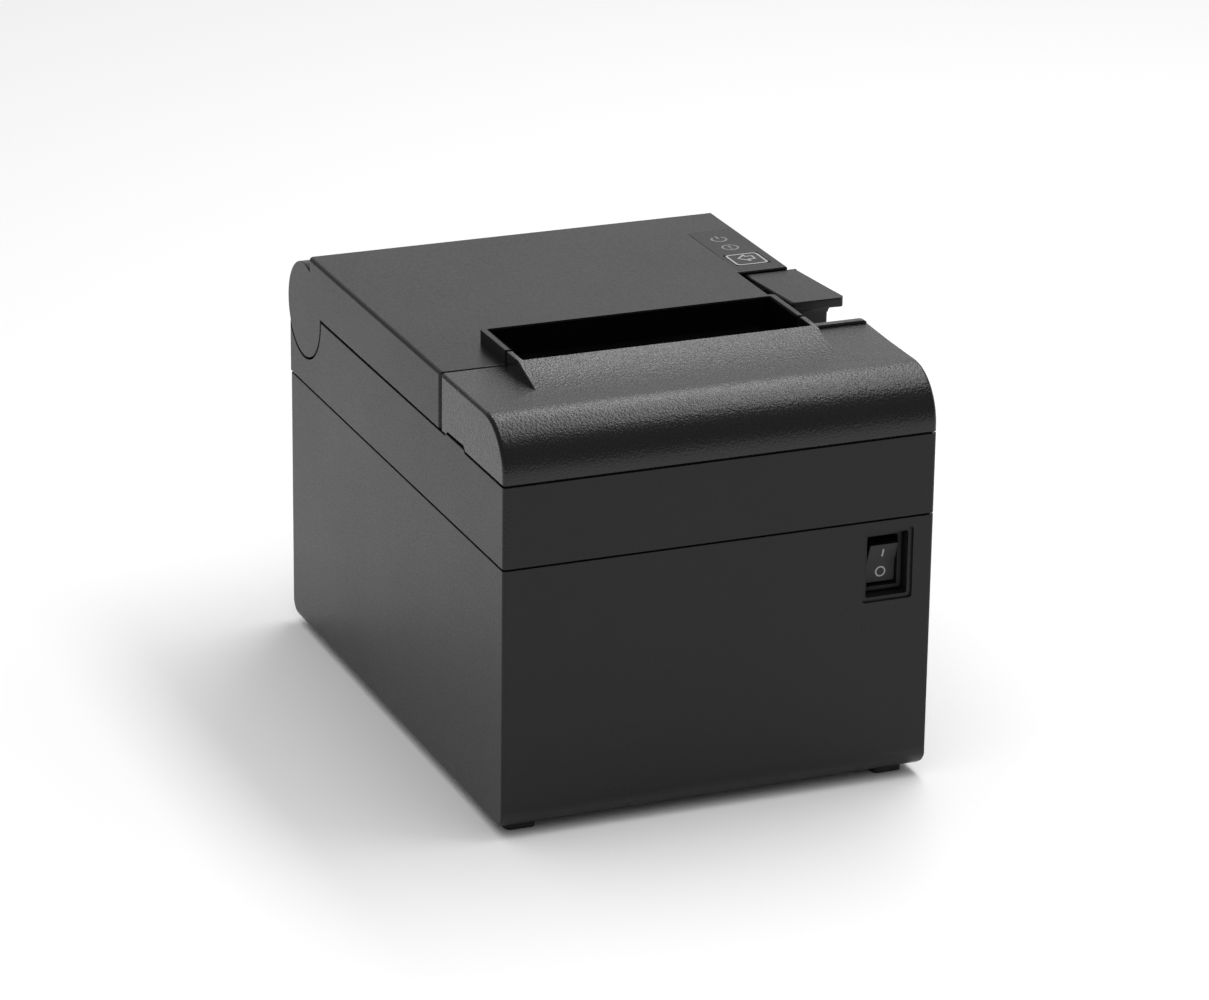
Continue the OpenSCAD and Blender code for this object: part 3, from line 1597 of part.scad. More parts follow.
module panel_film() {
  color([0.36, 0.36, 0.37])
    difference() {
      intersection() {
        film_space(0.05);
        along_z(top_z - film_t, top_z) rect(film_x0, film_x1, film_y0, film_y1);
      }
      box(button_x - button_w / 2 - button_gap, button_x + button_w / 2 + button_gap,
        button_y - button_l / 2 - button_gap, button_y + button_l / 2 + button_gap,
        top_in, top_z + 1);
    }
}

module panel_board() {
  color(board_green)
    difference() {
      box(film_x0 + 1.2, inner_x - 1, film_y0 + 5, film_y1 - 1, panel_board_z,
        panel_board_z + board_t);
      for (p = panel_bosses)
        rod_z(panel_board_z - 1, panel_board_z + 3, p[0], p[1], 1.1);
    }
  color(liner_black)
    box(button_x - 3, button_x + 3, button_y - 3, button_y + 3, panel_board_z + board_t,
      panel_board_z + board_t + 1.6);
}

module panel_lights() {
  color("whitesmoke")
    for (i = [0, 1])
      rod_z(panel_board_z + board_t, top_z - film_t, light_xs[i], light_ys[i], light_r);
}

module feed_button() {
  color([0.36, 0.36, 0.37]) {
    along_z(top_z - 1.6, top_z)
      round_rect(button_x - button_w / 2, button_x + button_w / 2, button_y - button_l / 2,
        button_y + button_l / 2, 1.4);
    rod_z(panel_board_z + board_t + 1.6 + button_travel + 0.1, top_z - 1, button_x, button_y, 1.8);
  }
}

// Black walls of the exit inside the lid
module chute_liner() {
  color(liner_black) {
    along_z(top_in - 1, rim_z - 0.3)
      difference() {
        exit_plan(rim_in - slip_gap, lid_front_y, collar_y, rim_corner_r);
        exit_plan(well_x, lid_front_y - 1, well_back_y, rim_corner_r - 0.6);
      }
    both_sides()
      along_x(well_x, liner_x)
        polygon([
          [lid_front_y, top_in],
          [well_back_y + liner_t, top_in],
          [well_back_y + liner_t, top_in - 3],
          [platen_y + 6, chute_floor],
          [lid_front_y, chute_floor]]);
    difference() {
      along_x(-well_x - 0.5, well_x + 0.5)
        polygon([
          [well_back_y, top_in],
          [well_back_y + liner_t, top_in],
          [well_back_y + liner_t, top_in - 3],
          [platen_y + 8.2, chute_floor],
          [throat_y + 5.4, chute_floor],
          [throat_y + 5.4, chute_floor + 1],
          [platen_y + 2, chute_floor + 1.5],
          [well_back_y, top_in - 2.4]]);
      for (x = blade_screw_xs)
        rod_z(chute_floor - 1, chute_floor + 3, x, blade_screw_y, 1.25);
    }
  }
}

chute_floor = blade_z + blade_t + 1.2;
blade_screw_xs = [-36, 0, 36];
blade_screw_y = platen_y + 5.6;

module fixed_blade() {
  color(steel)
    difference() {
      box(-blade_x + 0.5, blade_x - 0.5, throat_y + 5.4, platen_y + 8, blade_z + blade_t + 0.2,
        blade_z + blade_t + 1.2);
      for (x = blade_screw_xs)
        rod_z(blade_z, blade_z + 4, x, blade_screw_y, 1.25);
    }
}

// Sheet steel bracket that carries the platen under the lid
module platen_bracket() {
  color(steel)
    difference() {
      union() {
        both_sides()
          along_x(arm_x, arm_x + sheet_t)
            polygon([
              [platen_y - 5.5, platen_z - 5.5],
              [platen_y + 5.5, platen_z - 5.5],
              [lid_boss_y + 5, flange_z - 6],
              [lid_boss_y + 5, flange_z],
              [platen_y - 5.5, flange_z]]);
        box(-arm_x - 0.5, arm_x + 0.5, lid_boss_y - 4.4, lid_boss_y + 5, flange_z - sheet_t,
          flange_z);
      }
      rod_x(-plate_out, plate_out, platen_y, platen_z, bush_r + 0.02);
      for (x = lid_boss_xs)
        rod_z(flange_z - 3, flange_z + 1, x, lid_boss_y, screw_r + 0.1);
    }
}

module lid_screws() {
  color(steel) {
    for (x = lid_boss_xs)
      screw_up(x, lid_boss_y, flange_z - sheet_t, sheet_t + 4);
    for (x = blade_screw_xs)
      screw_up(x, blade_screw_y, blade_z + blade_t + 0.2, 2.2, 1.2, 2);
    for (p = panel_bosses)
      screw_up(p[0], p[1], panel_board_z, 5, 1, 1.9);
  }
}

// ---------------------------------------- platen

module platen_bushes() {
  color("ivory")
    both_sides()
      difference() {
        rod_x(arm_x - 0.3, plate_out + 0.6, platen_y, platen_z, bush_r);
        rod_x(arm_x - 1, plate_out + 2, platen_y, platen_z, shaft_r + run_gap);
      }
}

module platen_shaft() {
  color(steel)
    rod_x(-gear_x - gear_w - 0.4, plate_out + 0.3, platen_y, platen_z, shaft_r);
}

module platen_rubber() {
  color(rubber)
    difference() {
      rod_x(-paper_w / 2 - 1, paper_w / 2 + 1, platen_y, platen_z, platen_r);
      rod_x(-paper_w, paper_w, platen_y, platen_z, shaft_r);
    }
}

module platen_gear() {
  color(gear_white)
    difference() {
      along_x(-gear_x - gear_w, -gear_x)
        translate([platen_y, platen_z])
          gear_outline(platen_teeth, feed_module, platen_phase, feed_backlash);
      rod_x(-gear_x - gear_w - 1, -gear_x + 1, platen_y, platen_z, shaft_r);
    }
}

// ---------------------------------------- lever and latch

// Rear outline of the lever that stays clear of the lid as it turns, drawn in (y, z)
module lever_side_outline() {
  plate_top = top_z - lever_drop;
  difference() {
    union() {
      polygon([
        [lever_front, plate_low],
        [lever_front, plate_low + lever_t],
        [lever_rear, plate_top],
        [lever_rear, mid_top + 2],
        [neck_y - scoop_r, mid_top + 2],
        [neck_y - scoop_r, plate_low]]);
      intersection() {
        translate([latch_y, latch_z]) circle(lever_arc_r);
        rect(latch_y, latch_y + 20, latch_z - 4, plate_top);
      }
    }
    translate([neck_y - scoop_r, plate_low - scoop_r]) circle(scoop_r);
    rect(lever_front - 1, neck_y, mid_top, plate_low - scoop_r);
  }
}

// Outline of the lever seen from the front, drawn in (x, z)
module lever_front_outline() {
  difference() {
    union() {
      round_rect(lever_x0, lever_x1, plate_low, plate_low + lever_t + 4, 0.6);
      rect(lever_x0 + 1, neck_x + scoop_r, mid_top + 1, plate_low + 1);
    }
    translate([neck_x + scoop_r, plate_low - scoop_r]) circle(scoop_r);
    rect(neck_x, neck_x + scoop_r + 1, mid_top, plate_low - scoop_r);
  }
}

module open_lever() {
  hub_x0 = hook_x + hook_t + 0.3;
  color(case_grey)
    difference() {
      union() {
        intersection() {
          along_x(lever_x0 - 1, lever_x1 + 1) lever_side_outline();
          along_y(lever_front - 1, lever_rear + 8) lever_front_outline();
        }
        rod_x(lever_x0 + 1, side_x - 1, latch_y, latch_z, 5);
      }
      difference() {
        box(lever_x1 - plate_corner_r, lever_x1 + 1, lever_front - 1,
          lever_front + plate_corner_r, plate_low - 1, plate_low + lever_t + 1);
        rod_z(plate_low - 2, plate_low + lever_t + 2, lever_x1 - plate_corner_r,
          lever_front + plate_corner_r, plate_corner_r);
      }
      box(lever_x0 + 3, neck_x - 1.6, neck_y + 1.8, latch_y - 5.5, mid_top,
        top_z - lever_drop - lever_t - 0.4);
      box(lever_x0 - 1, hub_x0, latch_y - 12, lever_rear + 3, mid_top, latch_z + 4.2);
      rod_x(lever_x0 - 2, side_x - 2.5, latch_y, latch_z, latch_r + 0.02);
    }
}

// Shaft through the lid with a hook at each side
module latch_shaft() {
  color(steel) {
    rod_x(-hook_x - hook_t - 0.6, side_x - 2.6, latch_y, latch_z, latch_r);
    for (x = [hook_x, -hook_x - hook_t])
      along_x(x, x + hook_t) hook_outline();
  }
}

// Hook that reaches down in front of its catch pin, drawn in (y, z)
module hook_outline() {
  reach = catch_y - catch_r - fit_gap;
  translate([latch_y, latch_z]) circle(3.8);
  polygon([
    [latch_y - 3.4, latch_z - 2],
    [reach - 3, catch_z + 6],
    [reach - 3, catch_z - 4.6],
    [reach, catch_z - 4.6],
    [reach, catch_z + 4],
    [latch_y + 2.6, latch_z - 2.6]]);
}

module catch_pins() {
  color(steel)
    both_sides() rod_x(plate_x - 0.4, hook_x + hook_t + 0.8, catch_y, catch_z, catch_r);
}

// ---------------------------------------- drawing

base_shell();
rubber_feet();
chassis_plate();
mid_frame();
front_cover();
paper_bucket();
paper_guide();
paper_end_sensor();
mech_frame();
feed_motor();
motor_screws();
idler_post();
head_pivot_shaft();
head_springs();
cutter_base();
cutter_cover();
cutter_motor();
cutter_screws();
catch_pins();
hinge_pins();
main_board();
board_chips();
board_capacitors();
power_board();
board_standoffs();
board_screws();
mech_screws();
case_screws();
cover_screws();
interface_plate();
power_inlet();
drawer_port();
serial_port();
serial_jackscrews();
lan_port();
usb_port();
switch_body();
switch_rocker();
lid_shell();
chute_liner();
platen_bracket();
platen_bushes();
fixed_blade();
lid_screws();
panel_film();
panel_board();
panel_lights();
feed_button();
platen_shaft();
platen_rubber();
platen_gear();
motor_pinion();
idler_gear();
head_plate();
head_strip();
cutter_blade();
cutter_pinion();
cutter_motor_gear();
open_lever();
latch_shaft();
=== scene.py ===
"""Gives a receipt printer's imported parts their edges, finishes and marks, in a pale studio."""

import json
import logging
import math
from contextlib import contextmanager
from dataclasses import dataclass, field, replace
from enum import Enum
from typing import Callable, Iterable, Iterator, Optional, Sequence, Union

import bmesh
import bpy
from mathutils import Matrix, Vector
from mathutils.bvhtree import BVHTree
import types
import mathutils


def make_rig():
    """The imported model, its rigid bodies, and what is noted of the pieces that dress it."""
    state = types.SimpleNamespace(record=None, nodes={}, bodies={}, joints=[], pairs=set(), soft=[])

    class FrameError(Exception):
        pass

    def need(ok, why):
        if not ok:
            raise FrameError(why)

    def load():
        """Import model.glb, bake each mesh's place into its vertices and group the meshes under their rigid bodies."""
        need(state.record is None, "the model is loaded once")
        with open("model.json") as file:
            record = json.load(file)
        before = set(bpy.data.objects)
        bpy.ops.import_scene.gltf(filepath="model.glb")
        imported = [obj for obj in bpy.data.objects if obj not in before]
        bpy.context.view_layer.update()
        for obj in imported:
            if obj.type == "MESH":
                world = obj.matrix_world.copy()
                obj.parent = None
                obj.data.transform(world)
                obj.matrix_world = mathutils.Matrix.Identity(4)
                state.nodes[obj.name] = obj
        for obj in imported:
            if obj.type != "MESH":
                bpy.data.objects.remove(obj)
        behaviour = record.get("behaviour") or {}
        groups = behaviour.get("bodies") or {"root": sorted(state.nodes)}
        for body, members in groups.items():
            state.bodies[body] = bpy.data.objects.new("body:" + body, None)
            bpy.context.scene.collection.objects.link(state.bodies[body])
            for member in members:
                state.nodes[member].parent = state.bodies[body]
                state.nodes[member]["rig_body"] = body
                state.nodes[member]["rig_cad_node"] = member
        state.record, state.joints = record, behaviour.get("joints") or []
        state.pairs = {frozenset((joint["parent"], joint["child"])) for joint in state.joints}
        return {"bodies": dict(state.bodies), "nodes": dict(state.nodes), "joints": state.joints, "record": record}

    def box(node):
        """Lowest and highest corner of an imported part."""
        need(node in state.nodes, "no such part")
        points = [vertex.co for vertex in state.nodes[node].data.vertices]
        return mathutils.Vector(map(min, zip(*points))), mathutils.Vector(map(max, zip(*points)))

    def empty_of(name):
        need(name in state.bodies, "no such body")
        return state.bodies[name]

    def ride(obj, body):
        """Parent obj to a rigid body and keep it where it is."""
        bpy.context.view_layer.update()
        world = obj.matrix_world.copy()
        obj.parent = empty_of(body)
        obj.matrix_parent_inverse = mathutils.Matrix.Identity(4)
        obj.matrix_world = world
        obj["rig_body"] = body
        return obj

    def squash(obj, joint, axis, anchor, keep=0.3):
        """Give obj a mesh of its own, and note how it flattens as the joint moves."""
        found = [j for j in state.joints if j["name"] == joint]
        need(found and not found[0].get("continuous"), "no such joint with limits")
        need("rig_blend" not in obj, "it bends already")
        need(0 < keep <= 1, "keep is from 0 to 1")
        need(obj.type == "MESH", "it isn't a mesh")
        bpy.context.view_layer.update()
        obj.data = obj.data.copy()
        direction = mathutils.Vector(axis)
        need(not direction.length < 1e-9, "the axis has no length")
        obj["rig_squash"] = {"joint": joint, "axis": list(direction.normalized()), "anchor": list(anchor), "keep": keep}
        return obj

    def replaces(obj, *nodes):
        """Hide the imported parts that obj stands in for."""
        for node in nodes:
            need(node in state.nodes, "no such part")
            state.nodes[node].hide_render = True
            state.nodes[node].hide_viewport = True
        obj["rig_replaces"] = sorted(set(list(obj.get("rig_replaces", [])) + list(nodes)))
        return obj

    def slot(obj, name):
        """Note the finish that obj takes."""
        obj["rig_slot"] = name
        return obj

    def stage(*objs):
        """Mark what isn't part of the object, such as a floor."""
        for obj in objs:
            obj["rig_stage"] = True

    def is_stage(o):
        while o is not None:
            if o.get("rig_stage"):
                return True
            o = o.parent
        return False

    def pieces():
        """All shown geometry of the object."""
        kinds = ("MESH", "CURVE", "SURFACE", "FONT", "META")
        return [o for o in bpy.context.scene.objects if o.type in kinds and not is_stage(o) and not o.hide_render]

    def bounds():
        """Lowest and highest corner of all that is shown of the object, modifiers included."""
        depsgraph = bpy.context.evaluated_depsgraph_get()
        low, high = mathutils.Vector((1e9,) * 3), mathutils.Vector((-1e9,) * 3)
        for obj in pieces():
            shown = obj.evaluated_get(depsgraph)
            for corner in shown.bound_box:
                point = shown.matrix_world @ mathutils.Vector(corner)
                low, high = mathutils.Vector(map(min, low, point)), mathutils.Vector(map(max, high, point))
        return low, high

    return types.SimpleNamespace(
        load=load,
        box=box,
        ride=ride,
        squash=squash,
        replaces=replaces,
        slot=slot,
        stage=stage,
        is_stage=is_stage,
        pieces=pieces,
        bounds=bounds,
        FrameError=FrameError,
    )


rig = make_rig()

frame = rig.load()
CAD_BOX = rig.bounds()

LOG = logging.getLogger("receipt_printer")
MM = 0.001

# Points closer than this are one point, and planes and circles closer than this agree, in metres.
WELD = 2e-6
AGREE = 6e-5
# Faces that turn less than FLAT are one face; edges that turn more than SHARP stay sharp.
FLAT = math.radians(0.35)
SHARP = math.radians(35.0)

Number = Union[float, "Value"]
Pair = tuple[float, float]
Triple = tuple[float, float, float]
# A row is a CAD node, its finish and, where its edges are rounded, their radius in metres.
Rows = tuple[tuple, ...]
Pieces = Iterable[bpy.types.Object]


# ---------------------------------------------------------------- shader maths


def sign(operation: str, swapped: bool = False) -> Callable[["Value", Number], "Value"]:
    """Makes the method that stands for one arithmetic sign.

    Args:
        operation: The Math node's operation.
        swapped: Whether the other number comes first.

    Returns:
        The method.
    """

    def method(value: "Value", other: Number) -> "Value":
        """Returns the two numbers put together."""
        pair = {0: other, 1: value} if swapped else {0: value, 1: other}
        return value.nodes.add("ShaderNodeMath", {"operation": operation}, pair)

    return method


class Value:
    """A number socket that adds Math nodes as it is used in an expression."""

    def __init__(self, nodes: "Tree", socket: Optional[bpy.types.NodeSocket]) -> None:
        """Keeps the socket.

        Args:
            nodes: The tree that the socket is in.
            socket: The output that carries the number.
        """
        self.nodes = nodes
        self.socket = socket

    __add__, __radd__ = sign("ADD"), sign("ADD", True)
    __sub__, __rsub__ = sign("SUBTRACT"), sign("SUBTRACT", True)
    __mul__, __rmul__ = sign("MULTIPLY"), sign("MULTIPLY", True)
    __truediv__, __pow__, __gt__ = sign("DIVIDE"), sign("POWER"), sign("GREATER_THAN")

    def ramp(self, low: float, high: float) -> "Value":
        """Adds a smooth step.

        Args:
            low: Where it is still 0.
            high: Where it reaches 1.

        Returns:
            The step.
        """
        settings = {"interpolation_type": "SMOOTHSTEP"}
        return self.nodes.add(
            "ShaderNodeMapRange", settings, {0: self, 1: low, 2: high, 3: 0.0, 4: 1.0}
        )


class Tree:
    """A node tree of any kind."""

    def __init__(self, tree: bpy.types.NodeTree) -> None:
        """Keeps the tree.

        Args:
            tree: The tree that nodes are added to.
        """
        self.tree = tree

    def add(
        self,
        kind: str,
        settings: dict[str, object],
        sockets: dict[Union[int, str], object],
        output: Union[int, str] = 0,
    ) -> Value:
        """Adds a node, sets it up and feeds its sockets.

        Args:
            kind: The node's type.
            settings: Its properties.
            sockets: A value or a Value for each input, by name or number, or a list of Values.
            output: The output to return.

        Returns:
            That output, or an empty Value where the node ends the tree.
        """
        node = self.tree.nodes.new(kind)
        for key, setting in settings.items():
            setattr(node, key, setting)
        for key, value in sockets.items():
            for single in value if isinstance(value, list) else [value]:
                if isinstance(single, Value):
                    self.tree.links.new(single.socket, node.inputs[key])
                else:
                    node.inputs[key].default_value = single
        return Value(self, node.outputs[output] if node.outputs else None)

    def part(self, vector: Value, axis: int) -> Value:
        """Returns one coordinate of a vector: 0 for X, 1 for Y and 2 for Z."""
        return self.add("ShaderNodeSeparateXYZ", {}, {0: vector}, axis)


class Nodes(Tree):
    """One material's or world's node tree."""

    def __init__(self, name: str, world: bool = False) -> None:
        """Starts an empty tree.

        Args:
            name: The material's or world's name.
            world: Whether it is a world, which reads directions in place of points.
        """
        self.owner = (bpy.data.worlds if world else bpy.data.materials).new(name)
        self.owner.use_nodes = True
        super().__init__(self.owner.node_tree)
        self.tree.nodes.clear()
        self.place = self.add("ShaderNodeTexCoord", {}, {}, "Generated" if world else "Object")
        self.output = "ShaderNodeOutputWorld" if world else "ShaderNodeOutputMaterial"

    def stretched(self, scale: Triple) -> Value:
        """Returns the object's own coordinates, multiplied along each axis."""
        return self.add("ShaderNodeMapping", {}, {"Vector": self.place, "Scale": scale}, "Vector")

    def noise(self, size: float, detail: float = 2.0, place: Optional[Value] = None,
              roughness: float = 0.5) -> Value:
        """Adds cloudy noise.

        Args:
            size: The size of its lumps in metres.
            detail: How many finer layers it has.
            place: Where it is read, if not at the object's own coordinates.
            roughness: How strong the finer layers are.

        Returns:
            Its strength, about 0.5 in the middle.
        """
        sockets = {"Vector": place or self.place, "Scale": 1.0 / size, "Detail": detail,
                   "Roughness": roughness}
        return self.add("ShaderNodeTexNoise", {}, sockets, 0)

    def cells(self, size: float, output: str = "Distance") -> Value:
        """Adds a pattern of cells.

        Args:
            size: The size of a cell in metres.
            output: The output to return.

        Returns:
            The chosen output.
        """
        sockets = {"Vector": self.place, "Scale": 1.0 / size}
        return self.add("ShaderNodeTexVoronoi", {}, sockets, output)

    def blend(self, share: Number, first: Union[Triple, Value], second: Union[Triple, Value]) -> Value:
        """Mixes two colours.

        Args:
            share: How much of the second shows.
            first: The colour at 0.
            second: The colour at 1.

        Returns:
            The mixed colour.
        """
        colours = {}
        for socket, colour in ((6, first), (7, second)):
            colours[socket] = colour if isinstance(colour, Value) else (*colour, 1.0)
        settings = {"data_type": "RGBA", "clamp_factor": True}
        return self.add("ShaderNodeMix", settings, {0: share, **colours}, 2)

    def attribute(self, name: str) -> Value:
        """Returns a number that the mesh carries."""
        return self.add("ShaderNodeAttribute", {"attribute_name": name}, {}, "Fac")

    def relief(self, height: Value, depth: float, strength: float) -> Value:
        """Turns heights into a normal.

        Args:
            height: The height, from 0 to 1.
            depth: How deep the relief is in metres.
            strength: The Bump node's strength.

        Returns:
            The normal.
        """
        sockets = {"Height": height, "Distance": depth, "Strength": strength}
        return self.add("ShaderNodeBump", {}, sockets, "Normal")

    def along(self, axis: int) -> Value:
        """Returns one coordinate of the place or direction."""
        return self.part(self.place, axis)

    def end(self, shader: Value) -> None:
        """Links a shader to the tree's output."""
        self.add(self.output, {}, {"Surface": shader})


def grey(level: float, warmth: float = 0.0) -> Triple:
    """Returns a grey, a little warm or cool."""
    return (level * (1 + warmth), level, level * (1 - warmth))


def shade(colour: Triple, factor: float, lift: float = 0.0) -> Triple:
    """Returns a colour made lighter or darker by a factor, and then lifted."""
    return tuple(c * factor + lift for c in colour)


# ---------------------------------------------------------------- finishes


@dataclass(frozen=True)
class Finish:
    """A surface finish, made into one material when it is first asked for."""

    name: str

    def material(self) -> bpy.types.Material:
        """Makes the finish's material, once.

        Returns:
            The material.
        """
        name = f"{self.name}_finish"
        made = bpy.data.materials.get(name)
        if made:
            return made
        nodes = Nodes(name)
        nodes.end(nodes.add("ShaderNodeBsdfPrincipled", {}, self.sockets(nodes), "BSDF"))
        return nodes.owner

    def sockets(self, nodes: Nodes) -> dict[str, object]:
        """Returns the shader's values and links, from nodes added to the material's tree."""
        raise NotImplementedError


@dataclass(frozen=True)
class GrainedPlastic(Finish):
    """Spark-eroded moulded plastic: fine grain, faint clouds, and edges that handling has smoothed."""

    colour: Triple = grey(0.055)
    roughness: float = 0.5
    grain: float = 0.0006
    depth: float = 0.00005
    specular: float = 0.5

    def sockets(self, nodes: Nodes) -> dict[str, object]:
        """Works out how the surface looks.

        Args:
            nodes: The material's tree.

        Returns:
            The surface's values and links.
        """
        fine = nodes.noise(self.grain, 2.0, roughness=0.6)
        pits = nodes.cells(self.grain * 1.7)
        height = fine * 0.7 + pits * 0.5
        clouds = nodes.noise(0.045, 3.0)
        smears = nodes.noise(0.012, 4.0, nodes.stretched((1.0, 0.45, 1.0)))
        worn = nodes.attribute("edge")
        speck = fine.ramp(0.3, 0.72)
        light = speck * 0.5 + clouds * 0.35 + smears.ramp(0.35, 0.75) * 0.15
        base = nodes.blend(light, shade(self.colour, 0.86), shade(self.colour, 1.14))
        rubbed = nodes.blend(worn * 0.35, base, shade(self.colour, 1.25))
        rough = self.roughness + (speck - 0.5) * 0.14 + (clouds - 0.5) * 0.08 - worn * 0.08
        normal = nodes.relief(height, self.depth, 0.8)
        return {
            "Base Color": rubbed, "Roughness": rough, "Normal": normal,
            "Specular IOR Level": self.specular,
        }


@dataclass(frozen=True)
class SmoothPlastic(Finish):
    """Plain moulded plastic with faint flow marks and a little dust."""

    colour: Triple = grey(0.03)
    roughness: float = 0.35
    depth: float = 0.000008

    def sockets(self, nodes: Nodes) -> dict[str, object]:
        """Works out how the surface looks.

        Args:
            nodes: The material's tree.

        Returns:
            The surface's values and links.
        """
        flow = nodes.noise(0.006, 3.0, nodes.stretched((1.0, 1.0, 0.3)))
        fine = nodes.noise(0.0005, 2.0)
        dust = nodes.noise(0.0011, 3.0).ramp(0.62, 0.75)
        base = nodes.blend(flow, shade(self.colour, 0.88), shade(self.colour, 1.12))
        base = nodes.blend(dust * 0.12, base, grey(0.3))
        rough = self.roughness + (flow - 0.5) * 0.12 + dust * 0.15
        return {
            "Base Color": base, "Roughness": rough,
            "Normal": nodes.relief(fine * 0.6 + flow * 0.4, self.depth, 0.7),
        }


@dataclass(frozen=True)
class SoftRubber(Finish):
    """Ground or moulded rubber with a dusty bloom."""

    colour: Triple = grey(0.022)
    grind: float = 0.0003

    def sockets(self, nodes: Nodes) -> dict[str, object]:
        """Works out how the surface looks.

        Args:
            nodes: The material's tree.

        Returns:
            The surface's values and links.
        """
        rings = nodes.noise(self.grind, 2.0, nodes.stretched((3.0, 0.5, 0.5)))
        bloom = nodes.noise(0.004, 4.0).ramp(0.4, 0.75)
        base = nodes.blend(bloom * 0.5, self.colour, shade(self.colour, 1.9, 0.01))
        rough = 0.72 + rings * 0.12 + bloom * 0.08
        return {
            "Base Color": base, "Roughness": rough,
            "Normal": nodes.relief(rings, 0.00003, 0.8), "Specular IOR Level": 0.35,
        }


class Working(Enum):
    """How a metal surface was worked."""

    SHEET = (1.0, 0.12, 1.0)
    TURNED = (0.08, 1.0, 1.0)
    GROUND = (1.0, 0.06, 1.0)


@dataclass(frozen=True)
class Metal(Finish):
    """Plated or bare metal with fine lines, faint blotches and smudges."""

    colour: Triple = grey(0.56)
    roughness: float = 0.34
    working: Working = Working.SHEET
    spangle: float = 0.0

    def sockets(self, nodes: Nodes) -> dict[str, object]:
        """Works out how the surface looks.

        Args:
            nodes: The material's tree.

        Returns:
            The surface's values and links.
        """
        lines = nodes.noise(0.0004, 3.0, nodes.stretched(self.working.value))
        blotch = nodes.noise(0.009, 4.0)
        smudge = blotch.ramp(0.45, 0.7)
        base = nodes.blend(blotch * 0.7 + lines * 0.3, shade(self.colour, 0.8), self.colour)
        if self.spangle:
            flakes = nodes.cells(0.003, output="Color")
            share = nodes.add("ShaderNodeSeparateColor", {}, {0: flakes}, 0)
            base = nodes.blend(share * self.spangle, base, shade(self.colour, 1.25))
        rough = self.roughness + (lines - 0.5) * 0.16 + smudge * 0.1
        return {
            "Base Color": base, "Roughness": rough, "Metallic": 1.0,
            "Normal": nodes.relief(lines, 0.000012, 0.6),
        }


@dataclass(frozen=True)
class SolderMask(Finish):
    """A circuit board: green lacquer over copper tracks, with tinned pads."""

    colour: Triple = (0.012, 0.075, 0.03)
    track: float = 0.0016

    def sockets(self, nodes: Nodes) -> dict[str, object]:
        """Works out how the surface looks.

        Args:
            nodes: The material's tree.

        Returns:
            The surface's values and links.
        """
        half = self.track / 2
        across = nodes.along(0) + nodes.noise(0.02, 1.0) * 0.02
        lane = nodes.add("ShaderNodeMath", {"operation": "PINGPONG"}, {0: across, 1: half})
        copper = (lane / half).ramp(0.42, 0.5) * nodes.noise(0.011, 2.0).ramp(0.47, 0.5)
        pad = 1.0 - nodes.cells(0.0052).ramp(0.11, 0.14)
        base = nodes.blend(copper, self.colour, shade(self.colour, 1.9, 0.004))
        base = nodes.blend(pad, base, (0.62, 0.6, 0.55))
        return {
            "Base Color": base, "Roughness": 0.3 + pad * 0.1, "Metallic": pad * 0.9,
            "Normal": nodes.relief(copper + pad, 0.00003, 0.6),
        }


@dataclass(frozen=True)
class Ink(Finish):
    """Screen-printed ink with slightly uneven cover."""

    colour: Triple = grey(0.5)

    def sockets(self, nodes: Nodes) -> dict[str, object]:
        """Works out how the surface looks.

        Args:
            nodes: The material's tree.

        Returns:
            The surface's values and links.
        """
        cover = nodes.noise(0.0004, 3.0)
        base = nodes.blend(cover, shade(self.colour, 0.88), self.colour)
        return {
            "Base Color": base, "Roughness": 0.5 + cover * 0.1,
            "Normal": nodes.relief(cover, 0.000008, 0.5),
        }


@dataclass(frozen=True)
class ClearGuide(Finish):
    """A frosted light guide."""

    colour: Triple = (0.62, 0.66, 0.62)

    def sockets(self, nodes: Nodes) -> dict[str, object]:
        """Works out how the surface looks.

        Args:
            nodes: The material's tree.

        Returns:
            The surface's values and links.
        """
        frost = nodes.noise(0.0006, 2.0)
        base = nodes.blend(frost, shade(self.colour, 0.9), self.colour)
        return {
            "Base Color": base, "Roughness": 0.25 + frost * 0.15,
            "Normal": nodes.relief(frost, 0.00001, 0.5),
        }


CASE_GREY = grey(0.0105)

CASE = GrainedPlastic("case_plastic", CASE_GREY, 0.35, 0.0006, 0.00003, 0.25)
COVER = GrainedPlastic("cover_plastic", grey(0.005), 0.27, 0.00052, 0.00015, 0.43)
LEVER = GrainedPlastic("lever_plastic", CASE_GREY, 0.4, 0.0005, 0.00002, 0.25)
FILM = GrainedPlastic("panel_film", grey(0.012), 0.44, 0.0003, 0.000008, 0.3)
BLACK = GrainedPlastic("black_plastic", grey(0.006), 0.6, 0.0006, 0.00002, 0.2)
# The chute liner is nearly black and almost without sheen: painted shade for the dark inside of the paper well.
LINER_PAINTED_SHADE = GrainedPlastic("liner_plastic", grey(0.0015), 0.75, 0.0006, 0.00002, 0.03)
ROCKER = SmoothPlastic("rocker_plastic", grey(0.0025), 0.5)
SWITCH = SmoothPlastic("switch_plastic", grey(0.0016), 0.62)
SOCKET = SmoothPlastic("socket_plastic", grey(0.016), 0.4)
CHIP = SmoothPlastic("chip_moulding", grey(0.014), 0.45)
SLEEVE = SmoothPlastic("capacitor_sleeve", (0.012, 0.018, 0.05), 0.25)
ACETAL = SmoothPlastic("acetal", (0.62, 0.6, 0.53), 0.42)
CERAMIC = SmoothPlastic("head_glaze", (0.62, 0.58, 0.47), 0.18)
FOOT = SoftRubber("foot_rubber")
ROLLER = SoftRubber("roller_rubber", grey(0.035), 0.0002)
SHEET = Metal("sheet_steel", grey(0.5), 0.36, Working.SHEET, 0.25)
TURNED = Metal("turned_steel", grey(0.56), 0.24, Working.TURNED)
BLADE = Metal("blade_steel", grey(0.5), 0.22, Working.GROUND)
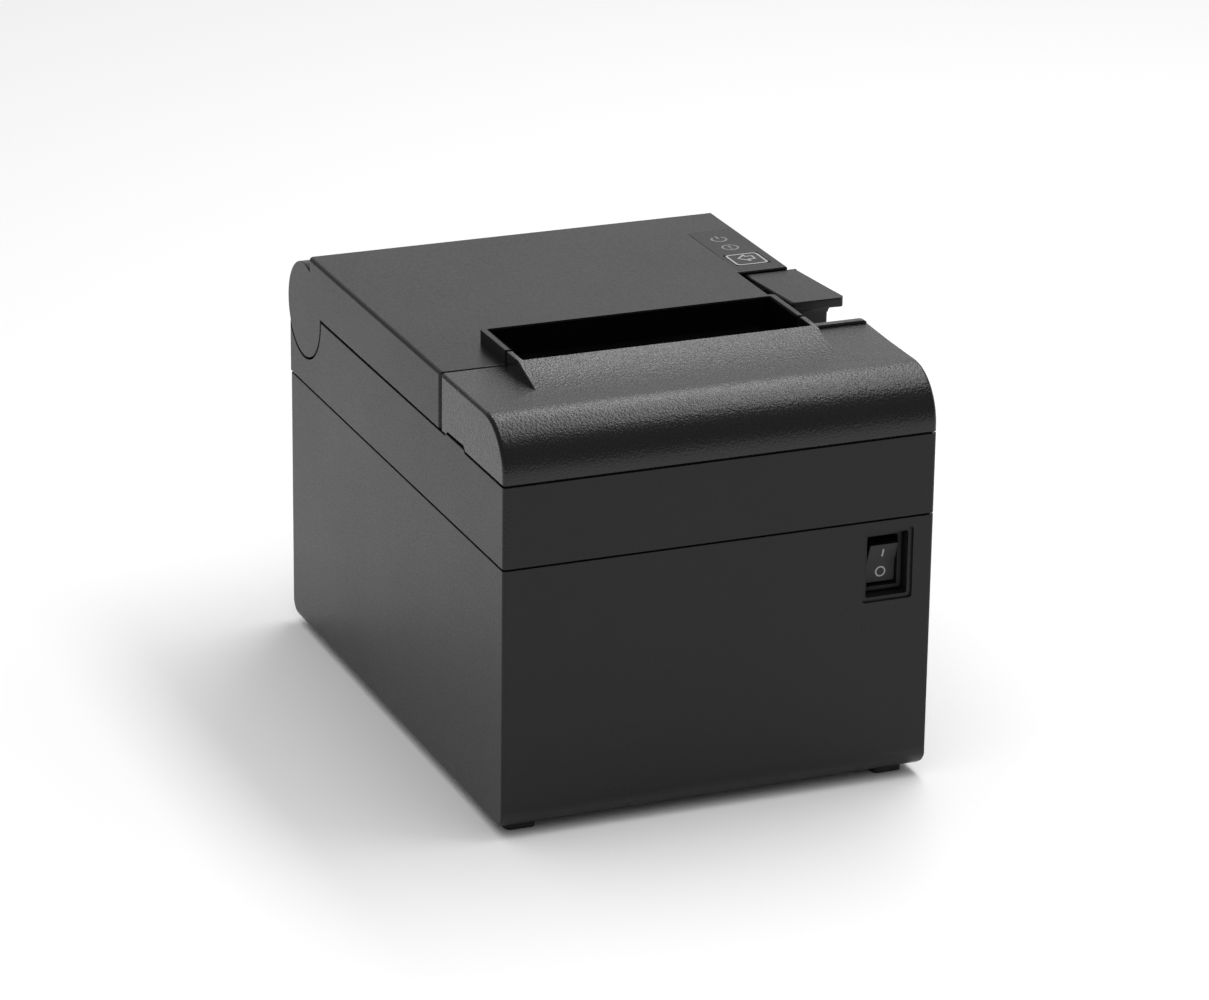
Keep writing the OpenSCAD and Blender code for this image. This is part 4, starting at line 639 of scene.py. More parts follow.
SCREW = Metal("screw_steel", grey(0.46), 0.3, Working.TURNED)
BLACK_SCREW = Metal("blackened_steel", grey(0.07), 0.42, Working.TURNED)
GOLD = Metal("contact_gold", (0.78, 0.55, 0.2), 0.2, Working.SHEET)
SPRING = Metal("spring_steel", grey(0.4), 0.28, Working.TURNED)
ALUMINIUM = Metal("head_aluminium", grey(0.6), 0.38, Working.SHEET)
NICKEL = Metal("nickel_plate", grey(0.58, 0.02), 0.22, Working.SHEET)
BRASS = Metal("brass", (0.62, 0.43, 0.16), 0.26, Working.TURNED)
BOARD = SolderMask("solder_mask")
PRINT = Ink("panel_ink", grey(0.38))
FAINT_PRINT = Ink("faint_panel_ink", grey(0.2))
SWITCH_PRINT = Ink("switch_ink", grey(0.42))
GUIDE = ClearGuide("light_guide")


# ---------------------------------------------------------------- meshes


@dataclass(frozen=True)
class Coat:
    """What a piece is given: its finish, body and material slot, and the CAD node it stands for."""

    finish: Finish
    body: str
    slot: str
    node: Optional[str] = None

    @classmethod
    def of(cls, node: str, finish: Finish) -> "Coat":
        """Makes the coat of the piece that stands for a CAD node.

        Args:
            node: The CAD node.
            finish: The piece's finish.

        Returns:
            The coat.
        """
        rows = frame["record"]["subparts"]
        slot = next(row["material_slot"] for row in rows if row["node"] == node)
        return cls(finish, frame["nodes"][node]["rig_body"], slot, node)

    def settle(self, piece: bpy.types.Object) -> bpy.types.Object:
        """Puts the coat on a piece.

        Args:
            piece: The piece.

        Returns:
            The same piece.
        """
        piece.data.materials.clear()
        piece.data.materials.append(self.finish.material())
        for polygon in piece.data.polygons:
            polygon.material_index = 0
        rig.ride(piece, self.body)
        if self.node:
            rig.replaces(piece, self.node)
        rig.slot(piece, self.slot)
        return piece


@dataclass(frozen=True)
class Edges:
    """How a piece's sharp outer edges are broken.

    Fine is the usual radius, bold the radius where a face on one of the bold planes meets another
    face. Level edges in the seams stay fine, and so do edges in the fine zone, from one Y to
    another, below a height, and edges on the fine round, a circle given by its Y, Z and radius.
    Edges that turn less than the angle, in degrees, or are shorter than shortest stay as they are.
    """

    fine: float = 0.0
    bold: float = 0.0
    bold_planes: tuple[tuple[int, float], ...] = ()
    seams: tuple[float, ...] = ()
    fine_zone: Triple = (0.0, 0.0, 0.0)
    fine_round: Triple = (0.0, 0.0, 0.0)
    facing: float = 0.99
    angle: float = 32.0
    shortest: float = 0.0012
    segments: int = 3


@contextmanager
def editing(mesh: bpy.types.Mesh) -> Iterator[bmesh.types.BMesh]:
    """Opens a mesh for editing, and writes it back at the end.

    Args:
        mesh: The mesh.

    Yields:
        Its points, edges and faces.
    """
    bm = bmesh.new()
    bm.from_mesh(mesh)
    yield bm
    bm.to_mesh(mesh)
    bm.free()


def linked(name: str, data: bpy.types.ID) -> bpy.types.Object:
    """Returns a new object that holds the data, linked to the scene."""
    made = bpy.data.objects.new(name, data)
    bpy.context.scene.collection.objects.link(made)
    return made


def aimed(name: str, data: bpy.types.ID, axes: Sequence[Vector], place: Triple) -> bpy.types.Object:
    """Makes an object that holds the data, turned and moved.

    Args:
        name: Its name.
        data: The lamp or camera.
        axes: Where its own X, Y and Z point.
        place: Where it stands.

    Returns:
        The new object, linked to the scene.
    """
    made = linked(name, data)
    made.matrix_world = Matrix.Translation(place) @ Matrix(axes).transposed().to_4x4()
    return made


def clean_copy(node: str, name: str) -> bpy.types.Object:
    """Copies a CAD node's mesh, joins its loose triangles and clears edges inside flat faces.

    Args:
        node: The CAD node.
        name: The new object's name.

    Returns:
        The new object, linked to the scene.
    """
    mesh = frame["nodes"][node].data.copy()
    mesh.name = name
    mesh.materials.clear()
    with editing(mesh) as bm:
        bmesh.ops.remove_doubles(bm, verts=bm.verts, dist=WELD)
        bmesh.ops.dissolve_degenerate(bm, edges=bm.edges, dist=WELD / 2)
        bmesh.ops.dissolve_limit(
            bm, angle_limit=FLAT, use_dissolve_boundaries=False,
            verts=bm.verts, edges=bm.edges, delimit=set(),
        )
        bm.normal_update()
    if "custom_normal" in mesh.attributes:
        mesh.attributes.remove(mesh.attributes["custom_normal"])
    return linked(name, mesh)


def plain(piece: bpy.types.Object) -> bpy.types.Object:
    """Turns an object with modifiers into one with a plain mesh.

    Args:
        piece: The object.

    Returns:
        The same object, with its modifiers applied.
    """
    evaluated = piece.evaluated_get(bpy.context.evaluated_depsgraph_get())
    mesh = bpy.data.meshes.new_from_object(evaluated)
    mesh.name = piece.name
    piece.modifiers.clear()
    piece.data = mesh
    return piece


def mark_weights(piece: bpy.types.Object, rule: Edges) -> int:
    """Writes how far each edge is rounded, as a share of the rule's largest radius.

    Args:
        piece: The object.
        rule: The rounding.

    Returns:
        How many edges are rounded.
    """
    largest = max(rule.fine, rule.bold)
    count = 0
    with editing(piece.data) as bm:
        layers = bm.edges.layers.float
        layer = layers.get("bevel_weight_edge") or layers.new("bevel_weight_edge")
        for edge in bm.edges:
            if len(edge.link_faces) != 2 or edge.calc_length() < rule.shortest:
                continue
            if edge.is_convex and edge.calc_face_angle(0.0) >= math.radians(rule.angle):
                edge[layer] = edge_radius(edge, rule) / largest
                count += edge[layer] > 0
    return count


def stays_fine(edge: bmesh.types.BMEdge, rule: Edges) -> bool:
    """Tells whether an edge lies level in a seam, in the rule's fine zone or on its round.

    Args:
        edge: The edge.
        rule: The rule.

    Returns:
        Whether it does.
    """
    ends = [v.co for v in edge.verts]
    level = abs(ends[0].z - ends[1].z) < AGREE
    in_seam = level and any(abs(ends[0].z - z) < AGREE for z in rule.seams)
    start, stop, top = rule.fine_zone
    in_zone = all(start < end.y < stop and end.z < top for end in ends)
    y, z, radius = rule.fine_round
    on_round = all(abs(math.hypot(end.y - y, end.z - z) - radius) < AGREE for end in ends)
    return in_seam or in_zone or on_round


def edge_radius(edge: bmesh.types.BMEdge, rule: Edges) -> float:
    """Finds the radius that a rule gives one edge.

    Args:
        edge: The edge.
        rule: The rule.

    Returns:
        The radius in metres.
    """
    for axis, position in rule.bold_planes:
        for face in edge.link_faces:
            facing = abs(face.normal[axis]) > rule.facing
            if facing and abs(face.calc_center_median()[axis] - position) < AGREE:
                return rule.fine if stays_fine(edge, rule) else rule.bold
    return rule.fine


def skin(node: str, finish: Finish, rule: Edges = Edges()) -> bpy.types.Object:
    """Makes a clean, softly edged copy of a CAD node that stands for it.

    Args:
        node: The CAD node.
        finish: Its finish.
        rule: How its edges are rounded.

    Returns:
        The new piece.
    """
    piece = clean_copy(node, f"{node}_skin")
    if (rule.fine or rule.bold) and mark_weights(piece, rule):
        bevel = piece.modifiers.new("soft_edges", "BEVEL")
        bevel.limit_method = "WEIGHT"
        bevel.offset_type = "OFFSET"
        bevel.width = max(rule.fine, rule.bold)
        bevel.segments = rule.segments
        bevel.use_clamp_overlap = False
        bevel.face_strength_mode = "FSTR_AFFECTED"
        bevel.loop_slide = True
        plain(piece)
    mark_smooth(piece)
    normals = piece.modifiers.new("even_normals", "WEIGHTED_NORMAL")
    normals.keep_sharp = True
    normals.weight = 80
    plain(piece)
    return Coat.of(node, finish).settle(piece)


def skins(rows: Rows) -> dict[str, bpy.types.Object]:
    """Makes the skins of several CAD nodes.

    Args:
        rows: Each node, its finish and, where its edges are rounded, their radius.

    Returns:
        The new pieces by node.
    """
    return {node: skin(node, finish, Edges(*fine)) for node, finish, *fine in rows}


def mark_smooth(piece: bpy.types.Object, narrow: float = 0.0007, axial: float = 0.97) -> None:
    """Smooths a piece's faces, keeps sharp edges sharp, and marks narrow rounded faces as worn.

    Args:
        piece: The object.
        narrow: A worn face's shortest edge is below this, in metres.
        axial: A worn face's normal has no part along an axis above this.
    """
    with editing(piece.data) as bm:
        worn = bm.faces.layers.float.new("edge")
        for face in bm.faces:
            face.smooth = True
            thin = min((edge.calc_length() for edge in face.edges), default=1.0) < narrow
            slanted = max(abs(c) for c in face.normal) < axial
            face[worn] = float(slanted and thin and len(face.verts) == 4)
        for edge in bm.edges:
            edge.smooth = edge.calc_face_angle(0.0) < SHARP


def mesh_object(name: str, points: Sequence[Triple], faces: Sequence[Sequence[int]] = ()
                ) -> bpy.types.Object:
    """Makes an object of points and faces.

    Args:
        name: Its name.
        points: Its points in metres.
        faces: The points of each face, by number.

    Returns:
        The new object, linked to the scene.
    """
    mesh = bpy.data.meshes.new(name)
    mesh.from_pydata(points, [], faces)
    mesh.update()
    return linked(name, mesh)


# ---------------------------------------------------------------- repeated pieces


class Growth(Tree):
    """A Geometry Nodes tree that stands shapes on points and ends in one plain mesh."""

    def __init__(self, name: str, inputs: dict[str, float]) -> None:
        """Starts the tree.

        Args:
            name: The tree's name.
            inputs: The named inputs and their usual values.
        """
        super().__init__(bpy.data.node_groups.new(name, "GeometryNodeTree"))
        face = self.tree.interface
        face.new_socket("Points", in_out="INPUT", socket_type="NodeSocketGeometry")
        face.new_socket("Pieces", in_out="OUTPUT", socket_type="NodeSocketGeometry")
        self.finish_key = face.new_socket(
            "Finish", in_out="INPUT", socket_type="NodeSocketMaterial").identifier
        self.usual: dict[str, float] = {}
        for key, usual in inputs.items():
            socket = face.new_socket(key, in_out="INPUT", socket_type="NodeSocketFloat")
            socket.default_value = usual
            self.usual[socket.identifier] = usual

    def given(self, key: str) -> Value:
        """Returns one of the tree's inputs."""
        return self.add("NodeGroupInput", {}, {}, key)

    def held(self, name: str) -> Value:
        """Returns the vector that the points carry under a name."""
        settings = {"data_type": "FLOAT_VECTOR"}
        return self.add("GeometryNodeInputNamedAttribute", settings, {"Name": name})

    def vector(self, x: Number, y: Number, z: Number) -> Value:
        """Returns a vector made of three numbers."""
        return self.add("ShaderNodeCombineXYZ", {}, {0: x, 1: y, 2: z})

    def cylinder(self, sides: int, rings: int) -> Value:
        """Returns a cylinder of radius 1 and length 1 round the origin."""
        sockets = {"Vertices": sides, "Side Segments": rings, "Radius": 1.0, "Depth": 1.0}
        return self.add("GeometryNodeMeshCylinder", {}, sockets)

    def stand(self, shape: Value, turn: Value, size: Value, chosen: Optional[Value] = None) -> Value:
        """Stands a shape on the points.

        Args:
            shape: The shape, of unit size.
            turn: Its rotation on each point.
            size: Its size on each point.
            chosen: Which points take it, if not all.

        Returns:
            The instances.
        """
        sockets = {"Points": self.given("Points"), "Instance": shape, "Rotation": turn, "Scale": size}
        if chosen is not None:
            sockets["Selection"] = chosen
        return self.add("GeometryNodeInstanceOnPoints", {}, sockets)

    def close(self, parts: list[Value]) -> "Growth":
        """Joins the parts, makes them real and gives them the finish.

        Args:
            parts: The instances.

        Returns:
            This tree.
        """
        joined = self.add("GeometryNodeJoinGeometry", {}, {0: parts})
        real = self.add("GeometryNodeRealizeInstances", {}, {0: joined})
        sockets = {"Geometry": real, "Material": self.given("Finish")}
        self.add("NodeGroupOutput", {}, {0: self.add("GeometryNodeSetMaterial", {}, sockets)})
        return self

    def grow(self, name: str, points: Sequence[Triple], carried: dict[str, Sequence[Triple]],
             coat: Coat) -> bpy.types.Object:
        """Makes one piece from points.

        Args:
            name: The piece's name.
            points: Where the shapes stand, in metres.
            carried: A vector for each point, by name.
            coat: What the piece is given.

        Returns:
            The piece.
        """
        piece = mesh_object(name, points)
        for key, rows in carried.items():
            layer = piece.data.attributes.new(key, "FLOAT_VECTOR", "POINT")
            layer.data.foreach_set("vector", [float(c) for row in rows for c in row])
        modifier = piece.modifiers.new("growth", "NODES")
        modifier.node_group = self.tree
        modifier[self.finish_key] = coat.finish.material()
        for identifier, usual in self.usual.items():
            modifier[identifier] = usual
        plain(piece)
        mark_smooth(piece)
        return coat.settle(piece)


def screw_tree() -> Growth:
    """Makes a tree that puts a domed cross-head or a shank on each point.

    Returns:
        The tree.
    """
    tree = Growth("screw_shapes", {"Crown": 0.36, "Cross length": 1.16, "Cross width": 0.24,
                                   "Cross depth": 0.62})
    place = tree.add("GeometryNodeInputPosition", {}, {})
    x, y, z = (tree.part(place, axis) for axis in range(3))
    rise = tree.add("ShaderNodeMath", {"operation": "MAXIMUM"}, {0: z * 2.0, 1: 0.0})
    shrink = 1.0 - rise ** 3.0 * tree.given("Crown")
    sockets = {"Geometry": tree.cylinder(24, 8), "Position": tree.vector(x * shrink, y * shrink, z)}
    dome = tree.add("GeometryNodeSetPosition", {}, sockets)
    deep = tree.given("Cross depth") * 2.0
    bars = []
    for turned in (False, True):
        length, width = tree.given("Cross length"), tree.given("Cross width")
        size = tree.vector(width, length, deep) if turned else tree.vector(length, width, deep)
        bar = tree.add("GeometryNodeMeshCube", {}, {"Size": size})
        bars.append(tree.add("GeometryNodeTransform", {}, {"Geometry": bar, "Translation": (0, 0, 0.5)}))
    settings = {"operation": "DIFFERENCE", "solver": "EXACT"}
    head = tree.add("GeometryNodeMeshBoolean", settings, {0: dome, 1: bars})
    turn = tree.add(
        "FunctionNodeAlignRotationToVector", {"axis": "Z"}, {"Vector": tree.held("axis")}, "Rotation"
    )
    is_head = tree.part(tree.held("kind"), 0) > 0.5
    heads = tree.stand(head, turn, tree.held("size"), is_head)
    shanks = tree.stand(tree.cylinder(16, 1), turn, tree.held("size"), 1.0 - is_head)
    return tree.close([heads, shanks])


def bar_tree() -> Growth:
    """Makes a tree that puts a turned bar on each point.

    Returns:
        The tree.
    """
    tree = Growth("bar_shapes", {"Side": 1.0})
    side = tree.given("Side")
    bar = tree.add("GeometryNodeMeshCube", {}, {"Size": tree.vector(side, side, side)})
    return tree.close([tree.stand(bar, tree.held("turn"), tree.held("size"))])


def islands(node: str) -> list[list[Vector]]:
    """Sorts a CAD node's points by solid.

    Args:
        node: The CAD node.

    Returns:
        The points of each separate solid.
    """
    bm = bmesh.new()
    bm.from_mesh(frame["nodes"][node].data)
    bmesh.ops.remove_doubles(bm, verts=bm.verts, dist=WELD)
    left = set(bm.verts)
    found = []
    while left:
        queue, group = [left.pop()], []
        while queue:
            vert = queue.pop()
            group.append(vert.co.copy())
            for edge in vert.link_edges:
                other = edge.other_vert(vert)
                if other in left:
                    left.remove(other)
                    queue.append(other)
        found.append(group)
    bm.free()
    return sorted(found, key=lambda group: tuple(round(c, 5) for c in group_middle(group)))


def group_middle(group: Sequence[Vector]) -> Vector:
    """Returns the middle of a group's box."""
    return Vector([(min(p[k] for p in group) + max(p[k] for p in group)) / 2 for k in range(3)])


def screw_measure(group: Sequence[Vector], rim_from: float = 0.95
                  ) -> tuple[Vector, float, float, float, float]:
    """Measures one CAD screw.

    Args:
        group: Its points.
        rim_from: The share of the widest radius from which a point lies on the head's rim.

    Returns:
        The outward direction of its head, and along that direction the head's low and high end, the
        shank's far end and the shank's radius.
    """
    middle = group_middle(group)
    spans = [max(p[k] for p in group) - min(p[k] for p in group) for k in range(3)]
    axis = min(range(3), key=lambda k: abs(spans[(k + 1) % 3] - spans[(k + 2) % 3]))
    reach = {id(p): math.hypot(*(p[k] - middle[k] for k in range(3) if k != axis)) for p in group}
    widest = max(reach.values())
    rim = [p[axis] for p in group if reach[id(p)] > widest * rim_from]
    way = 1.0 if sum(rim) / len(rim) > middle[axis] else -1.0
    low, high = min(way * v for v in rim), max(way * v for v in rim)
    shank = [p for p in group if way * p[axis] < low - WELD / 2]
    far = min((way * p[axis] for p in shank), default=low)
    radius = max((reach[id(p)] for p in shank), default=widest * 0.5)
    outward = Vector([way if k == axis else 0.0 for k in range(3)])
    return outward, low, high, far, radius


def screws(tree: Growth, node: str, finish: Finish) -> bpy.types.Object:
    """Replaces a CAD node's screws with domed cross-head ones in the same places.

    Args:
        tree: The screw tree.
        node: The CAD node.
        finish: The finish.

    Returns:
        The new piece.
    """
    points, axes, sizes, kinds = [], [], [], []
    for group in islands(node):
        outward, low, high, far, radius = screw_measure(group)
        middle = group_middle(group)
        across = middle - outward * middle.dot(outward)
        widest = max((p - p.dot(outward) * outward - across).length for p in group)
        points += [across + outward * (low + high) / 2, across + outward * (low + far) / 2]
        sizes += [(widest, widest, high - low), (radius, radius, low - far)]
        axes += [outward, outward]
        kinds += [(1.0, 0.0, 0.0), (0.0, 0.0, 0.0)]
    carried = {"axis": axes, "size": sizes, "kind": kinds}
    return tree.grow(f"{node}_skin", points, carried, Coat.of(node, finish))


# ---------------------------------------------------------------- printed marks


Flat = Sequence[Pair]


@dataclass
class Mark:
    """A printed mark made of closed bands, each an outer and an inner outline in millimetres."""

    name: str
    centre: Pair
    bands: list[tuple[Flat, Flat, bool]] = field(default_factory=list)
    mitre: float = 0.35

    def ring(self, x: float, y: float, radius: float, width: float, start: float = 0.0,
             sweep: float = 360.0) -> "Mark":
        """Adds a ring, or part of one.

        Args:
            x: Its centre across.
            y: Its centre up.
            radius: The radius of its middle line.
            width: The line's width.
            start: Where it begins in degrees.
            sweep: How far it goes.

        Returns:
            This mark.
        """
        steps = 48
        closed = sweep >= 360
        turns = [math.radians(start + sweep * k / steps) for k in range(steps + (not closed))]
        outer, inner = (
            [(x + reach * math.cos(turn), y + reach * math.sin(turn)) for turn in turns]
            for reach in (radius + width / 2, radius - width / 2)
        )
        self.bands.append((outer, inner, closed))
        return self

    def bar(self, start: Pair, end: Pair, width: float) -> "Mark":
        """Adds a straight bar.

        Args:
            start: One end of its middle line.
            end: The other end.
            width: Its width.

        Returns:
            This mark.
        """
        along = Vector((end[0] - start[0], end[1] - start[1]))
        side = Vector((-along.y, along.x)).normalized() * width / 2
        steps = 6
        line = [Vector(start) + along * k / steps for k in range(steps + 1)]
        self.bands.append(([tuple(p + side) for p in line], [tuple(p - side) for p in line], False))
        return self

    def path(self, points: Flat, width: float) -> "Mark":
        """Adds a closed outline with mitred corners.

        Args:
            points: The middle line.
            width: The line's width.

        Returns:
            This mark.
        """
        outer, inner = [], []
        line = [Vector(point) for point in points]
        steps = [after - here for here, after in zip(line, line[1:] + line[:1])]
        for k, here in enumerate(line):
            first, second = steps[k - 1].normalized(), steps[k].normalized()
            normal = Vector((-(first.y + second.y), first.x + second.x)).normalized()
            reach = width / 2 / max(self.mitre, normal.dot(Vector((-first.y, first.x))))
            outer.append(tuple(here + normal * reach))
            inner.append(tuple(here - normal * reach))
        self.bands.append((outer, inner, True))
        return self

    def mesh(self, place: Callable[[float, float], Triple]) -> tuple[list[Triple], list[list[int]]]:
        """Turns the bands into faces.

        Args:
            place: Gives the point in metres for a point of the mark.

        Returns:
            Points and faces.
        """
        points: list[Triple] = []
        faces: list[list[int]] = []
        for outer, inner, closed in self.bands:
            base = len(points)
            count = len(outer)
            points += [place(self.centre[0] + x, self.centre[1] + y) for x, y in (*outer, *inner)]
            for k in range(count if closed else count - 1):
                n = (k + 1) % count
                faces.append([base + k, base + n, base + count + n, base + count + k])
        return points, faces


def rounded_outline(width: float, height: float, radius: float) -> Flat:
    """Returns a rectangle with rounded corners round the origin.

    Args:
        width: Its width.
        height: Its height.
        radius: Its corner radius.

    Returns:
        Its outline.
    """
    points = []
    steps = 6
    for sx, sy, start in ((1, 1, 0), (-1, 1, 90), (-1, -1, 180), (1, -1, 270)):
        cx, cy = sx * (width / 2 - radius), sy * (height / 2 - radius)
        for k in range(steps + 1):
            turn = math.radians(start + 90 * k / steps)
            points.append((cx + radius * math.cos(turn), cy + radius * math.sin(turn)))
    return points


def print_on(mark: Mark, printed: bpy.types.Object, axis: int, side: float, coat: Coat,
             lift: float = 0.00003) -> bpy.types.Object:
    """Lays a mark on a surface, following its shape.

    Args:
        mark: The mark.
        printed: The piece it is printed on.
        axis: The axis along which it is pressed on: 1 for the front, 2 for the top.
        side: The sign of the outward direction.
        coat: What the new piece is given.
        lift: How far it stands off the surface.

    Returns:
        The new piece.
    """
    bm = bmesh.new()
    bm.from_mesh(printed.data)
    tree = BVHTree.FromBMesh(bm)
    bm.free()
    outward = Vector((0.0, side, 0.0) if axis == 1 else (0.0, 0.0, side))

    def place(x: float, y: float) -> Triple:
        """Drops a point of the mark on the surface.

        Args:
            x: Its place across, in millimetres.
            y: Its place up the mark, in millimetres.

        Returns:
            The point in metres.
        """
        start = Vector((x * MM, side, y * MM) if axis == 1 else (x * MM, y * MM, side))
        hit = tree.ray_cast(start, -outward)[0]
        if hit is None:
            raise ValueError(f"{mark.name} misses its surface at {x}, {y}")
        return tuple(hit + outward * lift)

    piece = mesh_object(mark.name, *mark.mesh(place))
    with editing(piece.data) as bm:
        bm.normal_update()
        bmesh.ops.reverse_faces(bm, faces=[f for f in bm.faces if f.normal.dot(outward) < 0])
    return coat.settle(piece)


# ---------------------------------------------------------------- sub-assemblies


@dataclass
class Assembly:
    """A sub-assembly, with a row for each CAD node that gets a skin."""

    rows: Rows

    def build(self) -> Pieces:
        """Makes the pieces and returns them."""
        return skins(self.rows).values()


@dataclass
class LowerCase(Assembly):
    """The base, its rubber feet and the middle frame."""

    rows: Rows = (("base_shell", CASE, 0.0003), ("mid_frame", CASE, 0.0003), ("rubber_feet", FOOT, 0.0004))


# The edges of the cover and the lid: bold down both sides, fine along the seam.
COVER_EDGES = Edges(0.0003, 0.0013, ((0, 0.0725), (0, -0.0725)), (0.11735,))


@dataclass
class TopCover:
    """The fixed front cover with the ramp of the paper exit."""

    tab_zone: Triple = (-0.072, -0.0452, 0.1194)

    def build(self) -> Pieces:
        """Makes the pieces and returns them."""
        return [skin("front_cover", COVER, replace(COVER_EDGES, fine_zone=self.tab_zone))]


@dataclass
class PaperLid(Assembly):
    """The hinged lid with its liner, bracket and fixed blade."""

    barrel: Triple = (0.0852, 0.1162, 0.0162)
    rows: Rows = (("chute_liner", LINER_PAINTED_SHADE), ("platen_bracket", SHEET), ("platen_bushes", ACETAL),
                  ("fixed_blade", BLADE))

    def build(self) -> Pieces:
        """Makes the pieces and returns them."""
        shell = skin("lid_shell", CASE, replace(COVER_EDGES, fine_round=self.barrel))
        return [shell, *skins(self.rows).values()]


@dataclass
class ControlPanel(Assembly):
    """The panel film with its marks, the feed button, the board and the two light guides.

    The marks' places and sizes are in millimetres, across and up the panel.
    """

    rows: Rows = (("panel_film", FILM), ("feed_button", FILM, 0.00015), ("panel_board", BOARD),
                  ("panel_lights", GUIDE))
    line: float = 0.72
    button: Pair = (63.25, 28.6)
    button_size: float = 11.4
    button_corner: float = 1.3
    arrow: tuple[Pair, ...] = ((-2.5, 1.1), (0.5, 4.2), (0.5, 2.6), (2.9, 2.6), (2.9, -0.4),
                               (0.5, -0.4), (0.5, -2.0))
    arrow_line: float = 0.6
    alert: Pair = (63.15, 42.0)
    alert_radius: float = 2.65
    alert_stroke: tuple[Pair, Pair] = ((0.0, -0.3), (0.0, 1.6))
    alert_dot: tuple[Pair, Pair] = ((0.0, -1.6), (0.0, -0.8))
    alert_line: float = 0.85
    power: Pair = (63.1, 51.4)
    power_radius: float = 2.5
    power_arc: Pair = (125.0, 290.0)
    power_stroke: tuple[Pair, Pair] = ((0.0, 0.4), (0.0, 3.4))

    def build(self) -> Pieces:
        """Makes the pieces and returns them."""
        pieces = skins(self.rows)
        marks = self.print_marks(pieces["panel_film"], pieces["feed_button"])
        return [*pieces.values(), *marks]

    def print_marks(self, film: bpy.types.Object, button: bpy.types.Object) -> Pieces:
        """Prints the button's outline and arrow, the alert ring and the power sign.

        Args:
            film: The film.
            button: The button.

        Returns:
            The marks.
        """
        side = self.button_size - self.line
        outline = rounded_outline(side, side, self.button_corner)
        feed = Mark("button_mark", self.button).path(outline, self.line)
        feed.path(self.arrow, self.arrow_line)
        alert = Mark("alert_mark", self.alert).ring(0.0, 0.0, self.alert_radius, self.line)
        alert.bar(*self.alert_stroke, self.alert_line).bar(*self.alert_dot, self.alert_line)
        power = Mark("power_mark", self.power)
        power.ring(0.0, 0.0, self.power_radius, self.line, *self.power_arc)
        power.bar(*self.power_stroke, self.line)
        faint = Coat(FAINT_PRINT, "lid", "film")
        return [print_on(feed, button, 2, 1.0, Coat(PRINT, "button", "film")),
                print_on(alert, film, 2, 1.0, faint), print_on(power, film, 2, 1.0, faint)]


@dataclass
class OpenLever(Assembly):
    """The lever at the right that lets the lid go, and its shaft with the hooks."""

    rows: Rows = (("open_lever", LEVER, 0.0009), ("latch_shaft", TURNED))


@dataclass
class PowerSwitch(Assembly):
    """The rocker switch in the front of the base, with its mark's places and sizes in millimetres."""

    rows: Rows = (("switch_body", SWITCH, 0.0002), ("switch_rocker", ROCKER, 0.0003))
    x: float = 57.0
    on_z: float = 77.3
    off_z: float = 70.5
    half_bar: float = 1.4
    bar_line: float = 0.5
    ring_radius: float = 1.55
    ring_line: float = 0.45

    def build(self) -> Pieces:
        """Makes the pieces.

        Returns:
            The pieces.
        """
        pieces = skins(self.rows)
        mark = Mark("rocker_mark", (self.x, 0.0))
        mark.bar((0.0, self.on_z - self.half_bar), (0.0, self.on_z + self.half_bar), self.bar_line)
        mark.ring(0.0, self.off_z, self.ring_radius, self.ring_line)
        coat = Coat(SWITCH_PRINT, "rocker", "rocker_plastic")
        return [*pieces.values(), print_on(mark, pieces["switch_rocker"], 1, -1.0, coat)]


@dataclass
class Mechanism(Assembly):
    """The metal frame with the motor, the gear train, the print head and the cutter."""

    rows: Rows = (
        ("mech_frame", SHEET), ("feed_motor", SHEET), ("idler_post", TURNED), ("head_pivot_shaft", TURNED),
        ("head_springs", SPRING), ("catch_pins", TURNED), ("hinge_pins", TURNED), ("platen_shaft", TURNED),
        ("platen_rubber", ROLLER), ("platen_gear", ACETAL), ("motor_pinion", BRASS),
        ("idler_gear", ACETAL), ("head_plate", ALUMINIUM), ("head_strip", CERAMIC),
        ("cutter_blade", BLADE), ("cutter_pinion", ACETAL), ("cutter_motor_gear", BRASS),
        ("cutter_base", BLACK, 0.0002), ("cutter_cover", SHEET), ("cutter_motor", SHEET),
        ("paper_bucket", BLACK, 0.0003), ("paper_guide", BLACK, 0.0002), ("paper_end_sensor", BLACK),
    )
    spring_wall: Triple = (0.0, -0.05725, 0.114)
    spring_keep: float = 0.95

    def build(self) -> Pieces:
        """Makes the pieces, and lets the springs give with the head.

        Returns:
            The pieces.
        """
        pieces = skins(self.rows)
        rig.squash(
            pieces["head_springs"], "head_tilt", axis=(0.0, 1.0, 0.0), anchor=self.spring_wall,
            keep=self.spring_keep,
        )
        return pieces.values()


@dataclass
class Electronics(Assembly):
    """The boards, their parts, the rear plate with its sockets, and the floor plate."""

    rows: Rows = (
        ("chassis_plate", SHEET), ("main_board", BOARD), ("power_board", BOARD), ("board_chips", CHIP),
        ("board_capacitors", SLEEVE), ("board_standoffs", BRASS), ("interface_plate", SHEET),
        ("power_inlet", SOCKET), ("drawer_port", SOCKET), ("serial_port", NICKEL),
        ("serial_jackscrews", SCREW), ("lan_port", NICKEL), ("usb_port", NICKEL),
    )


@dataclass
class Fasteners(Assembly):
    """The cross-head screws that hold the case, the mechanism and the boards."""

    rows: Rows = (
        ("mech_screws", SCREW), ("cutter_screws", SCREW), ("motor_screws", SCREW),
        ("board_screws", SCREW), ("lid_screws", BLACK_SCREW), ("cover_screws", BLACK_SCREW),
        ("case_screws", BLACK_SCREW),
    )

    def build(self) -> Pieces:
        """Makes the pieces and returns them."""
        tree = screw_tree()
        return [screws(tree, node, finish) for node, finish in self.rows]


